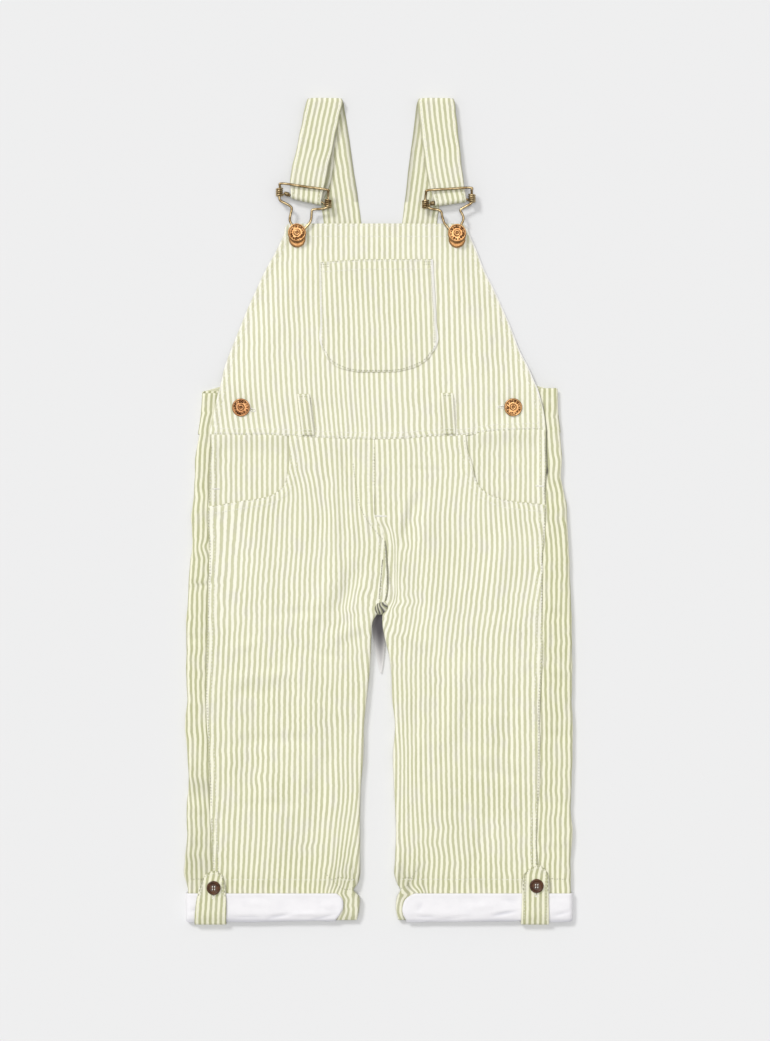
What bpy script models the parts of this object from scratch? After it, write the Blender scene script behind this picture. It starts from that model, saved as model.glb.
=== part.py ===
"""Kids bib overalls, laid flat on a surface with the front up and the bib towards +Y.

Lengths in the tables are millimetres, scaled to metres when a mesh is made. X runs across the
garment, Z up from the surface. "left" and "right" are the viewer's, looking at the front.
Every cloth panel is an open surface through rows of outer points, which Solidify makes WALL
thick on its inner side. All that lies on the front follows front_height().
"""

import math

import bmesh
import bpy
from mathutils import Matrix, Vector
from mathutils.bvhtree import BVHTree

MM = 0.001

# ---- driving dimensions, in millimetres --------------------------------------------------
WALL = 1.2              # cloth wall
STRAP_WALL = 1.8        # two layers of cloth, sewn together
GAP = 0.3               # room between two pieces at a seam
LIE_GAP = 0.45          # room under a piece that lies on a curved panel
HEIGHT = 7.0            # outer face of the front legs and the waist above the surface
WRAP_HEIGHT = 5.0       # back panel where the front laps over it, at the waist
LEG_MIDDLE = 75.0       # middle of a leg from the centre seam
LEG_CROWN = 1.0         # how much a leg's middle stands above its sides
SEAM_HALF = GAP / 2
WAIST_BACK = 64.4       # waist seam of the back panel
BIB_TOP = 243.9         # top edge of the bib
LAP = 38.0              # how far the back runs under the front at the side buttons
SIDE_EDGE_TILT = 0.015  # slope of the back's upper side edge
ARC_STEPS = 5           # facets round an outer fold
EDGE_STRAIGHT = 1.0     # last stretch of a leg's inner edge, at the inseam
BEND_STEPS = 2          # facets of the bend before it

LEG_TOP = 51.0          # first section of a leg below the waist seam
CUFF_TOP = -325.6       # edge of the turn-up
CUFF_FOLD = -349.7      # centre of the fold at the foot of the turn-up
LEG_END = -348.8        # foot of the leg's cloth, inside the turn-up
CUFF_STEP = WALL + GAP  # what one layer of the turn-up adds
LIP_RADIUS = 1.35       # outer radius of the turn-up's fold
LIP_STEPS = 4

STRAP_FOLD_Y = 347.8    # centre of the strap's fold over the shoulder
STRAP_FOLD_RADIUS = 3.0
WIRE_RADIUS = 0.9
SLIDE_RADIUS = 0.75
COIL_RADIUS = WIRE_RADIUS + GAP + SLIDE_RADIUS + 0.05
COIL_PITCH = 1.9
COIL_TURNS = 2

BIB_BUTTON_RADIUS = 7.7
SIDE_BUTTON_RADIUS = 7.6
TAB_BUTTON_RADIUS = 5.9
SHANK_RADIUS = 1.6
BUTTONHOLE_RADIUS = 2.2
BUTTON_STEPS = 16

SIGN = {"left": -1, "right": 1}

# ---- outlines ------------------------------------------------------------------------------
# One row for each section of a leg: its outer fold, side seam and inner edge, and how far the
# inner edge is turned under (0 at the centre seam, 1 at the inseam).
LEG_SECTIONS = {
    "left": (
        # y,     fold,    seam,   inner, turned
        (None, -154.0, -143.9, -4.7, 0),  # on the waist seam
        (LEG_TOP, -156.1, -143.9, -4.7, 0),
        (38.2, -157.5, -145.3, -4.7, 0),
        (25.5, -158.0, -145.3, -4.7, 0),
        (15.3, -158.1, -145.5, -4.7, 0),
        (4.2, -159.0, -146.1, -4.7, 0),
        (-6.0, -160.6, -147.0, -4.0, 0),
        (-17.0, -160.2, -146.3, 2.2, 0),
        (-29.8, -159.8, -145.4, 5.3, 0),
        (-42.5, -161.1, -145.4, 6.3, 0),
        (-58.0, -162.6, -145.7, 7.0, 0),
        (-72.0, -162.9, -146.2, 6.4, 0),
        (-81.0, -163.4, -146.5, 3.4, 0.1),
        (-87.5, -164.1, -146.8, -1.6, 0.7),
        (-93.5, -164.9, -147.0, -5.5, 1),
        (-106.2, -165.3, -147.4, -7.2, 1),
        (-123.2, -165.0, -147.9, -7.9, 1),
        (-140.2, -164.6, -148.1, -9.1, 1),
        (-160.0, -164.0, -148.2, -11.2, 1),
        (-182.8, -165.8, -147.0, -13.6, 1),
        (-208.2, -164.0, -146.0, -14.0, 1),
        (-233.8, -163.2, -144.9, -16.2, 1),
        (-255.0, -164.9, -144.3, -17.0, 1),
        (-276.2, -164.0, -143.7, -17.0, 1),
        (-297.5, -166.4, -142.5, -17.0, 1),
        (-311.1, -166.9, -141.9, -17.2, 1),
        (-318.5, -164.8, -141.7, -19.2, 1),
        (-323.2, -163.4, -141.7, -22.6, 1),
        (-328.0, -163.4, -141.6, -18.0, 1),
        (-337.0, -163.4, -141.4, -17.4, 1),
        (LEG_END, -163.4, -141.1, -19.6, 1),
    ),
    "right": (
        # y,     fold,  seam,  inner, turned
        (None, 153.4, 141.4, -4.7, 0),  # on the waist seam
        (LEG_TOP, 154.4, 141.4, -4.7, 0),
        (38.2, 154.7, 141.8, -4.7, 0),
        (25.5, 154.7, 141.2, -4.7, 0),
        (15.3, 156.3, 140.6, -4.7, 0),
        (4.2, 158.4, 141.1, -4.7, 0),
        (-6.0, 159.1, 141.1, -4.0, 0),
        (-17.0, 159.8, 140.4, 2.2, 0),
        (-29.8, 160.6, 139.5, 5.3, 0),
        (-42.5, 161.1, 138.5, 6.3, 0),
        (-58.0, 161.6, 138.5, 7.0, 0),
        (-72.0, 162.1, 138.5, 6.4, 0),
        (-81.0, 162.4, 138.5, 4.2, 0.1),
        (-87.5, 162.8, 138.5, 2.2, 0.7),
        (-93.5, 163.2, 138.5, 1.9, 1),
        (-106.2, 163.6, 138.5, 3.4, 1),
        (-123.2, 163.9, 138.5, 7.6, 1),
        (-140.2, 163.3, 137.6, 9.6, 1),
        (-160.0, 163.2, 136.1, 10.2, 1),
        (-182.8, 164.0, 136.0, 12.8, 1),
        (-208.2, 164.0, 136.0, 11.0, 1),
        (-233.8, 163.2, 135.6, 11.9, 1),
        (-255.0, 162.6, 134.6, 13.0, 1),
        (-276.2, 164.0, 133.6, 13.6, 1),
        (-297.5, 162.4, 134.1, 12.8, 1),
        (-311.1, 162.6, 134.3, 12.4, 1),
        (-318.5, 162.7, 134.3, 14.8, 1),
        (-323.2, 162.5, 134.3, 17.6, 1),
        (-328.0, 162.5, 134.3, 15.0, 1),
        (-337.0, 162.5, 134.3, 13.4, 1),
        (LEG_END, 162.5, 134.3, 15.3, 1),
    ),
}

# The front bib: its side edges, and the height of its outer face there and along its middle.
# Its sides drop to the surface beside the narrower back bib.
BIB_SECTIONS = (
    # y,     left,  right, edge_z, middle_z
    (BIB_TOP, -78.2, 71.4, 3.4, 4.2),
    (241.2, -80.4, 73.6, 3.4, 4.2),
    (236.3, -81.6, 75.6, 3.3, 4.3),
    (221.0, -88.4, 82.5, 2.4, 4.6),
    (204.0, -97.8, 89.2, 1.8, 4.9),
    (187.0, -105.8, 97.8, 1.6, 5.2),
    (170.0, -113.5, 105.4, 1.6, 5.6),
    (153.0, -120.3, 112.6, 2.0, 6.0),
    (136.0, -127.1, 119.0, 3.0, 6.3),
    (119.0, -133.0, 127.5, 4.6, 6.6),
    (110.5, -134.7, 130.9, 6.0, 6.8),
    (103.7, -136.4, 133.9, HEIGHT, HEIGHT),
    (90.0, -139.8, 137.4, HEIGHT, HEIGHT),
    (78.0, -141.9, 139.4, HEIGHT, HEIGHT),
    (None, -144.9, 141.1, HEIGHT, HEIGHT),  # on the waist seam
)
BIB_EDGE_FALL = 32.0    # the side edge's drop is spread over this width

# The waist seam on the front, where the bib is sewn to the legs.
WAIST_SEAM = (
    # x, y
    (-160.0, 65.0), (-120.7, 63.8), (-93.5, 63.8), (-65.5, 62.4), (-20.4, 60.6), (0.0, 60.4),
    (22.1, 60.9), (40.8, 62.6), (74.0, 63.8), (92.6, 66.7), (115.6, 68.0), (160.0, 68.3),
)

# The back bib: its side folds beside the waist, then its armhole edges.
BACK_SIDES = (
    # y,     left,   right
    (None, -155.0, 153.7),  # on the waist seam
    (82.0, -152.6, 152.0),
    (101.5, -151.3, 151.3),
)
BACK_ARMHOLE = (
    # y,     left,   right
    (107.0, -130.0, 130.0),
    (115.0, -110.0, 109.0),
    (130.0, -90.0, 88.0),
    (150.0, -71.0, 70.0),
    (168.0, -58.0, 60.0),
    (180.0, -52.0, 56.0),
)

BIB_POCKET = (
    # y,     left,  right
    (210.8, -51.9, 45.0),
    (199.0, -51.6, 45.9),
    (180.0, -51.2, 47.2),
    (160.0, -50.8, 48.2),
    (139.7, -50.3, 48.3),
    (133.2, -47.2, 44.4),
    (125.8, -42.1, 37.7),
    (119.8, -31.0, 24.5),
    (117.4, -20.4, 13.6),
)
POCKET_TOP_RISE = 2.6   # the pocket's top edge, from its left corner to its middle

# Scoop of each jeans pocket, from the waist seam down and out to the side.
SCOOP = {
    "left": ((-77.3, 80.0), (-77.3, 51.0), (-77.3, 38.2), (-79.9, 25.5), (-84.0, 18.6),
             (-90.5, 13.6), (-100.3, 10.2), (-119.0, 7.6), (-144.5, 3.4), (-175.0, 2.0)),
    "right": ((71.4, 80.0), (74.0, 53.5), (77.0, 44.2), (81.2, 27.2), (84.4, 20.8),
              (89.8, 15.4), (98.0, 11.4), (110.5, 8.0), (139.4, 5.1), (172.0, 4.0)),
}
FACING_INNER = {
    # y, inner edge of the facing, out of sight under the leg
    "left": ((None, -69.0), (LEG_TOP, -69.0), (38.0, -69.0), (25.0, -71.0), (12.0, -77.0),
             (4.0, -89.0), (-2.0, -112.0)),
    "right": ((None, 66.0), (LEG_TOP, 66.0), (38.0, 69.5), (25.0, 73.0), (12.0, 78.0),
              (5.0, 88.0), (-1.0, 106.0)),
}
FACING_DROP = 1.75      # the facing's outer face under the leg's

# Front end of each turn-up, where the leg's own cloth shows beyond it.
CUFF_INNER = {
    # y, inner end
    "left": ((CUFF_TOP, -37.0), (-328.6, -33.4), (-336.0, -31.2), (-343.5, -33.2),
             (CUFF_FOLD, -37.4)),
    "right": ((CUFF_TOP, 29.6), (-328.6, 24.0), (-336.0, 19.4), (-343.5, 19.4),
              (CUFF_FOLD, 22.4)),
}
# The roll-up tab: its two edges, and its layer (0 on the leg, 1 over the turn-up).
TAB = {
    # y,     left,   right, layer
    "left": ((-306.3, -142.2, -140.0, 0), (-309.6, -148.0, -134.4, 0),
             (-312.5, -150.2, -133.2, 0), (-316.0, -152.0, -132.4, 1),
             (-328.1, -155.2, -130.6, 1), (-340.0, -157.0, -130.4, 1),
             (CUFF_FOLD, -157.6, -130.8, 1)),
    "right": ((-301.5, 133.6, 135.8, 0), (-305.0, 127.4, 140.0, 0),
              (-309.5, 122.2, 143.0, 0), (-314.0, 121.2, 143.2, 1),
              (-328.0, 120.6, 143.3, 1), (-340.0, 120.2, 143.5, 1),
              (CUFF_FOLD, 119.9, 143.7, 1)),
}
TAB_TAIL = 8.0          # how far the tab runs back inside the leg

BELT_LOOPS = {
    # x and y at the top, x and y at the waist seam
    "left": (-65.2, 98.6, -60.8, 63.4),
    "right": (56.8, 99.5, 59.2, 64.4),
}
LOOP_WIDTH = 10.4
LOOP_ARCH = 1.2

# Shoulder straps: left and right edge points and the height of the outer face, from the sewn
# end on the back bib, up the back, then down the front to the buckle, and the tail behind.
STRAP_BACK = {
    # left x, right x, y, z
    "left": ((-39.5, -8.5, 172.0, 1.5), (-42.8, -11.5, 196.0, 1.5), (-45.2, -13.6, 214.0, 0),
             (-48.0, -16.1, 243.9, 0), (-55.0, -23.2, 295.0, 0),
             (-62.6, -31.0, STRAP_FOLD_Y, 0)),
    "right": ((8.0, 38.0, 172.0, 1.5), (11.8, 41.6, 196.0, 1.5), (14.4, 44.3, 214.0, 0),
              (18.7, 48.4, 243.9, 0), (24.8, 55.6, 295.0, 0),
              (31.6, 63.4, STRAP_FOLD_Y, 0)),
}
STRAP_FRONT = {
    # left x, left y, right x, right y, z
    "left": ((-62.8, 347.8, -31.3, 347.8, 6.0), (-69.8, 312.0, -39.8, 310.0, 6.0),
             (-76.3, 280.0, -47.0, 276.0, 7.0), (-75.9, 268.0, -50.2, 261.8, 8.1)),
    "right": ((31.8, 347.8, 63.6, 347.8, 6.0), (36.4, 311.0, 67.4, 313.0, 6.0),
              (42.3, 276.0, 71.2, 279.0, 7.0), (46.8, 261.2, 73.2, 264.7, 8.1)),
}
STRAP_TAIL = {
    "left": ((-75.4, 271.0, -48.0, 265.0, 2.1), (-71.4, 279.0, -43.0, 277.0, 2.1),
             (-66.5, 312.0, -38.4, 312.0, 2.1), (-61.6, 341.6, -33.4, 341.6, 2.1)),
    "right": ((46.4, 265.0, 72.8, 268.0, 2.1), (42.8, 277.0, 71.0, 279.0, 2.1),
              (38.0, 312.0, 66.6, 312.0, 2.1), (33.8, 341.6, 62.2, 341.6, 2.1)),
}

# Wire of each buckle: along the bar, down the sides, in at the shoulders, round the button.
BUCKLE = {
    "left": (
        # x, y, z
        (-83.4, 277.2, 9.4), (-64.0, 274.6, 9.5), (-45.4, 272.0, 9.4), (-44.0, 270.0, 8.8),
        (-44.0, 266.2, 7.2), (-44.2, 261.2, 7.1), (-44.6, 258.0, 7.1), (-47.2, 256.3, 7.1),
        (-52.5, 255.8, 7.0), (-57.2, 255.2, 7.0), (-58.1, 252.4, 7.1), (-58.3, 248.4, 7.1),
        (-59.8, 244.0, 7.1), (-63.4, 239.8, 7.1), (-66.4, 235.0, 7.1), (-67.4, 231.0, 7.1),
        (-70.5, 228.9, 7.1), (-73.6, 231.0, 7.1), (-74.3, 236.0, 7.1), (-74.6, 241.0, 7.1),
        (-76.6, 246.4, 7.1), (-76.0, 251.5, 7.1), (-75.0, 256.2, 7.0), (-76.8, 258.6, 7.0),
        (-81.0, 261.0, 7.0), (-84.6, 263.0, 7.1), (-85.6, 266.0, 7.1), (-85.4, 270.0, 7.1),
        (-84.9, 274.4, 8.4),
    ),
    "right": (
        (41.0, 271.4, 9.4), (58.0, 272.6, 9.5), (76.6, 273.6, 9.4), (77.8, 271.4, 8.9),
        (78.0, 267.8, 7.3), (78.3, 264.0, 7.1), (78.0, 261.4, 7.1), (75.4, 259.4, 7.1),
        (71.6, 257.4, 7.0), (68.4, 255.0, 7.0), (69.4, 252.4, 7.1), (70.9, 249.0, 7.1),
        (70.4, 245.4, 7.1), (68.6, 241.4, 7.1), (68.6, 236.0, 7.1), (68.6, 231.0, 7.1),
        (65.5, 228.6, 7.1), (62.4, 231.0, 7.1), (60.6, 236.0, 7.1), (57.4, 240.4, 7.1),
        (54.6, 244.2, 7.1), (53.0, 249.0, 7.1), (52.2, 253.0, 7.0), (50.0, 255.0, 7.0),
        (45.4, 255.8, 7.0), (41.0, 257.2, 7.1), (39.0, 260.2, 7.1), (38.6, 264.0, 7.1),
        (39.0, 268.4, 8.4),
    ),
}
# The slide bar's two ends, each coiled round a side wire of the buckle, up it or down it.
SLIDE_BAR = {
    # x, y, way the coil runs
    "left": ((-85.5, 270.3, -1), (-44.1, 260.3, 1)),
    "right": ((38.6, 260.1, 1), (78.2, 265.4, -1)),
}
SIDE_WIRE_Z = 7.1

BIB_BUTTONS = {
    # foot x, y, then how far the cap leans
    "left": (-70.5, 230.3, 5.6),
    "right": (65.5, 230.0, 5.6),
}
SIDE_BUTTONS = {"left": (-118.1, 87.1), "right": (113.2, 87.3)}
TAB_BUTTONS = {"left": (-141.1, -320.6), "right": (132.9, -318.9)}

# The largest folds of the front: soft ridges, or troughs where the height is below zero.
FOLDS = (
    # from x, y,    to x, y,      half width, height
    (-34.0, 58.0, -12.0, -10.0, 11.0, -1.1),
    (-24.0, 40.0, -3.0, -22.0, 9.0, 0.9),
    (33.0, 14.0, 25.0, -34.0, 10.0, -1.1),
    (43.0, 18.0, 36.0, -40.0, 12.0, 0.8),
    (-14.0, -40.0, -38.0, -92.0, 12.0, -1.2),
    (-30.0, -34.0, -60.0, -100.0, 15.0, 1.3),
    (18.0, -44.0, 40.0, -96.0, 12.0, -1.2),
    (32.0, -30.0, 66.0, -98.0, 15.0, 1.2),
    (-12.0, -96.0, -46.0, -112.0, 9.0, 1.0),
    (10.0, -98.0, 44.0, -120.0, 9.0, 1.0),
    (-112.0, -6.0, -92.0, -90.0, 18.0, 1.1),
    (-70.0, -120.0, -48.0, -215.0, 17.0, 1.4),
    (-100.0, -150.0, -118.0, -260.0, 16.0, -1.1),
    (-46.0, -190.0, -58.0, -290.0, 15.0, -1.1),
    (-96.0, -215.0, -84.0, -300.0, 15.0, 1.1),
    (108.0, -8.0, 92.0, -84.0, 18.0, 1.1),
    (74.0, -118.0, 54.0, -205.0, 17.0, 1.3),
    (112.0, -140.0, 104.0, -235.0, 15.0, -1.1),
    (48.0, -215.0, 66.0, -292.0, 15.0, 1.0),
    (92.0, -240.0, 84.0, -306.0, 14.0, -0.9),
)

COLOURS = {
    # red, green, blue, roughness, metallic
    "stripe_cotton": (0.78, 0.77, 0.60, 0.9, 0.0),
    "lining": (0.93, 0.92, 0.93, 0.9, 0.0),
    "brass_wire": (0.46, 0.36, 0.18, 0.4, 1.0),
    "copper": (0.72, 0.45, 0.21, 0.35, 1.0),
    "brown_button": (0.16, 0.09, 0.05, 0.4, 0.0),
}


# ---- scene, materials and helpers ------------------------------------------------------------
def clear_scene():
    for obj in list(bpy.data.objects):
        bpy.data.objects.remove(obj, do_unlink=True)


def new_collection(name):
    collection = bpy.data.collections.new(name)
    bpy.context.scene.collection.children.link(collection)
    return collection


def make_material(name, red, green, blue, roughness, metallic):
    material = bpy.data.materials.new(name)
    material.use_nodes = True
    shader = material.node_tree.nodes["Principled BSDF"]
    shader.inputs["Base Color"].default_value = (red, green, blue, 1.0)
    shader.inputs["Roughness"].default_value = roughness
    shader.inputs["Metallic"].default_value = metallic
    return material


def add_object(name, data, material, collection):
    data.materials.append(material)
    obj = bpy.data.objects.new(name, data)
    collection.objects.link(obj)
    return obj


def lerp(a, b, t):
    return a + (b - a) * t


def smooth_step(t):
    t = min(1.0, max(0.0, t))
    return t * t * (3 - 2 * t)


def along(table, key, column):
    """A table's column read at a value of its first column, straight between its rows."""
    rows = sorted((row for row in table if row[0] is not None), key=lambda row: row[0])
    if key <= rows[0][0]:
        return rows[0][column]
    for low, high in zip(rows, rows[1:]):
        if key <= high[0]:
            return lerp(low[column], high[column], (key - low[0]) / (high[0] - low[0]))
    return rows[-1][column]


def cloth(name, rows, material, wall=WALL):
    """A cloth panel through rows of outer points. None leaves a hole at that corner."""
    mesh = bpy.data.meshes.new(name)
    shell = bmesh.new()
    verts = [[p and shell.verts.new(Vector(p) * MM) for p in row] for row in rows]
    for upper, lower in zip(verts, verts[1:]):
        for j in range(len(upper) - 1):
            corners = (upper[j], lower[j], lower[j + 1], upper[j + 1])
            if all(corners):
                shell.faces.new(corners)
    shell.to_mesh(mesh)
    shell.free()
    mesh.shade_smooth()
    obj = add_object(name, mesh, material, PARTS)
    solid = obj.modifiers.new("wall", "SOLIDIFY")
    solid.thickness = wall * MM
    solid.offset = -1
    solid.use_even_offset = True
    return obj


def cut(obj, cutter):
    cutter.hide_render = True
    cutter.display_type = "WIRE"
    boolean = obj.modifiers.new("cut", "BOOLEAN")
    boolean.operation = "DIFFERENCE"
    boolean.solver = "EXACT"
    boolean.object = cutter


def prism(name, outline, low, high):
    """A closed upright prism over an outline, as a cutter."""
    mesh = bpy.data.meshes.new(name)
    solid = bmesh.new()
    base, top = ([solid.verts.new(Vector((x, y, z)) * MM) for x, y in outline]
                 for z in (low, high))
    solid.faces.new(base)
    solid.faces.new(top)
    for i in range(len(outline)):
        solid.faces.new((base[i - 1], base[i], top[i], top[i - 1]))
    bmesh.ops.recalc_face_normals(solid, faces=solid.faces)
    solid.to_mesh(mesh)
    solid.free()
    return add_object(name, mesh, MATERIALS["stripe_cotton"], CUTTERS)


def spline(points, spans, closed=False):
    """Points on a Catmull-Rom curve through the given ones."""
    points = [Vector(p) for p in points]
    count = len(points)
    curve = []
    for i in range(count if closed else count - 1):
        if closed:
            a, b, c, d = (points[(i + k) % count] for k in (-1, 0, 1, 2))
        else:
            a, b, c, d = (points[min(count - 1, max(0, i + k))] for k in (-1, 0, 1, 2))
        for step in range(spans):
            t = step / spans
            curve.append(0.5 * (2 * b + (c - a) * t + (2 * a - 5 * b + 4 * c - d) * t * t
                                + (3 * b - a - 3 * c + d) * t ** 3))
    if not closed:
        curve.append(points[-1])
    return curve


def wire(name, points, radius, material, closed=False):
    curve = bpy.data.curves.new(name, "CURVE")
    curve.dimensions = "3D"
    curve.bevel_depth = radius * MM
    curve.bevel_resolution = 1
    curve.use_fill_caps = not closed
    line = curve.splines.new("POLY")
    line.points.add(len(points) - 1)
    for point, place in zip(line.points, points):
        point.co = (*(Vector(place) * MM), 1)
    line.use_cyclic_u = closed
    return add_object(name, curve, material, PARTS)


def turned(name, profile, foot, material, lean=0.0, steps=BUTTON_STEPS):
    """A round piece: (radius, z) rings over a foot point, leaning towards +Y as it rises."""
    top = profile[-1][1]
    mesh = bpy.data.meshes.new(name)
    solid = bmesh.new()
    profile_verts = [solid.verts.new((radius * MM, 0, z * MM)) for radius, z in profile]
    edges = [solid.edges.new(pair) for pair in zip(profile_verts, profile_verts[1:])]
    bmesh.ops.spin(solid, geom=profile_verts + edges, cent=(0, 0, 0), axis=(0, 0, 1),
                   angle=math.tau, steps=steps, use_merge=True)
    bmesh.ops.remove_doubles(solid, verts=solid.verts, dist=0.00001)
    bmesh.ops.recalc_face_normals(solid, faces=solid.faces)
    shear = Matrix.Identity(4)
    shear[1][2] = lean / top
    bmesh.ops.transform(solid, matrix=shear, verts=solid.verts)
    solid.to_mesh(mesh)
    solid.free()
    mesh.shade_smooth()
    mesh.set_sharp_from_angle(angle=math.radians(35))
    obj = add_object(name, mesh, material, PARTS)
    obj.location = Vector(foot) * MM
    return obj


def top_of(obj, x, y, radius):
    """The highest point of a piece under a round foot, in millimetres."""
    bpy.context.view_layer.update()
    tree = BVHTree.FromObject(obj, bpy.context.evaluated_depsgraph_get())
    heights = []
    for ring in (0.0, 0.5, 1.0):
        for step in range(8):
            angle = step * math.tau / 8
            px = x + ring * radius * math.cos(angle)
            py = y + ring * radius * math.sin(angle)
            hit = tree.ray_cast(Vector((px * MM, py * MM, 1)), Vector((0, 0, -1)))[0]
            if hit:
                heights.append(hit.z / MM)
    return max(heights)


# ---- heights -----------------------------------------------------------------------------------
def waist_y(x):
    return along(WAIST_SEAM, x, 1)


def back_waist_y(x, round_fold):
    """The back's waist seam, from where it meets the front's (0) round its fold (1)."""
    return lerp(waist_y(x), WAIST_BACK, round_fold)


def fold_height(x, y):
    """Sum of the soft ridges and troughs, each fading at its ends and its sides."""
    total = 0.0
    for x0, y0, x1, y1, half_width, height in FOLDS:
        length = math.hypot(x1 - x0, y1 - y0)
        run = ((x - x0) * (x1 - x0) + (y - y0) * (y1 - y0)) / length
        side = abs((x - x0) * (y1 - y0) - (y - y0) * (x1 - x0)) / length
        if side < half_width and 0 < run < length:
            across = math.cos(side / half_width * math.pi / 2) ** 2
            total += height * across * math.sin(math.pi * run / length)
    return total


def bib_height(x, y):
    left, right, edge, middle = (along(BIB_SECTIONS, y, k) for k in (1, 2, 3, 4))
    inside = min(x - left, right - x)
    return lerp(edge, middle, smooth_step(inside / BIB_EDGE_FALL))


def leg_height(x, y):
    """The outer face of a front leg: highest along its middle, level at waist and turn-up."""
    middle = max(0.0, 1 - ((abs(x) - LEG_MIDDLE) / LEG_MIDDLE) ** 2)
    ends = smooth_step((40 - y) / 60) * smooth_step((y + 306) / 60)
    return HEIGHT + LEG_CROWN * middle * ends + fold_height(x, y)


def front_height(x, y):
    if y > waist_y(x):
        return bib_height(x, y)
    return leg_height(x, y)


def rest_height(y):
    """The underside of the back leg: on the surface, and raised over the turn-up's layer."""
    return CUFF_STEP * smooth_step((-311 - y) / 12)


def wrap_drop(y):
    """How far the back's side strip lies below the front beside it."""
    return (HEIGHT - WRAP_HEIGHT) * smooth_step(y / 13)


# ---- legs ----------------------------------------------------------------------------------------
def inner_bend(radius, turned_under, steps):
    """(across, down) from the flat panel to its inner edge, bent by turned_under.

    The last stretch is straight, so that the front's and the back's edges face each other."""
    angle = max(0.001, turned_under * math.pi / 2)
    bend = (radius - EDGE_STRAIGHT) * math.pi / 2 / angle
    points = [(bend * math.sin(angle * k / steps), bend * (1 - math.cos(angle * k / steps)))
              for k in range(steps + 1)]
    across, down = points[-1]
    run = EDGE_STRAIGHT - SEAM_HALF
    return points + [(across + run * math.cos(angle), down + run * math.sin(angle))]


def inner_edge(sign, inner, turned_under, low):
    """The inner edge's bend, and the x where the flat panel ends and the bend starts."""
    bend = inner_bend((HEIGHT - low) / 2, turned_under, BEND_STEPS)
    edge = inner + sign * (SEAM_HALF if turned_under < 0.5 else 0)
    return bend[1:], edge + sign * bend[-1][0]


def front_leg(side):
    sign = SIGN[side]
    columns = 11
    grid = []
    for y, _, seam, inner, turned_under in LEG_SECTIONS[side]:
        bend, start = inner_edge(sign, inner, turned_under, rest_height(y or 0))
        xs = [lerp(seam - sign * SEAM_HALF, start, k / (columns - 1)) for k in range(columns)]
        xs += [start - sign * across for across, _ in bend]
        downs = [0] * columns + [down for _, down in bend]
        row = []
        for x, down in zip(xs, downs):
            at = waist_y(x) - SEAM_HALF if y is None else y
            flat_x = x if down == 0 else start
            row.append((x, at, leg_height(flat_x, at) - down))
        grid.append(row if side == "left" else row[::-1])
    leg = cloth(f"front_leg_{side}", grid, MATERIALS["stripe_cotton"])
    scoop = spline([(x, y, 0) for x, y in SCOOP[side]], 3)
    outline = [(p.x, p.y) for p in scoop] + [(SCOOP[side][-1][0], SCOOP[side][0][1])]
    cut(leg, prism(f"scoop_cutter_{side}", outline, -4, 20))
    return leg


def back_leg(side):
    sign = SIGN[side]
    floor_columns = 5
    grid = []
    for y, fold, seam, inner, turned_under in LEG_SECTIONS[side]:
        at = WAIST_BACK - SEAM_HALF if y is None else y
        edge_y = waist_y(fold) - SEAM_HALF if y is None else y
        low = rest_height(at)
        drop = wrap_drop(at)
        arc_radius = (HEIGHT - drop - low) / 2
        arc_x = fold - sign * arc_radius
        row = [(seam + sign * SEAM_HALF, edge_y, leg_height(seam, at) - drop)]
        for k in range(ARC_STEPS + 1):
            angle = math.pi / 2 - math.pi * k / ARC_STEPS
            row.append((arc_x + sign * arc_radius * math.cos(angle),
                        lerp(edge_y, at, k / ARC_STEPS),
                        low + arc_radius + arc_radius * math.sin(angle)))
        bend, start = inner_edge(sign, inner, turned_under, low)
        for k in range(1, floor_columns):
            row.append((lerp(arc_x, start, k / (floor_columns - 1)), at, low))
        row += [(start - sign * across, at, low + up) for across, up in bend]
        grid.append(row if side == "right" else row[::-1])
    return cloth(f"back_leg_{side}", grid, MATERIALS["stripe_cotton"])


def pocket_facing(side):
    sign = SIGN[side]
    columns = 6
    grid = []
    for y, inner in FACING_INNER[side]:
        seam = along(LEG_SECTIONS[side], LEG_TOP if y is None else y, 2)
        row = []
        for k in range(columns):
            x = lerp(seam - sign * SEAM_HALF, inner, k / (columns - 1))
            at = waist_y(x) - SEAM_HALF if y is None else y
            row.append((x, at, leg_height(x, at) - FACING_DROP))
        grid.append(row if side == "left" else row[::-1])
    return cloth(f"pocket_facing_{side}", grid, MATERIALS["stripe_cotton"])


# ---- bib -----------------------------------------------------------------------------------------
def front_bib():
    columns = 15
    grid = []
    for y, left, right, _, _ in BIB_SECTIONS:
        row = []
        for k in range(columns):
            x = lerp(left, right, k / (columns - 1))
            at = waist_y(x) + SEAM_HALF if y is None else y
            row.append((x, at, bib_height(x, at)))
        grid.append(row)
    bib = cloth("front_bib", grid, MATERIALS["stripe_cotton"])
    for side, (x, y) in SIDE_BUTTONS.items():
        hole = [(x + BUTTONHOLE_RADIUS * math.cos(angle), y + BUTTONHOLE_RADIUS * math.sin(angle))
                for angle in (math.tau * k / 12 for k in range(12))]
        cut(bib, prism(f"buttonhole_cutter_{side}", hole, 3, 12))
    return bib


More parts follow.
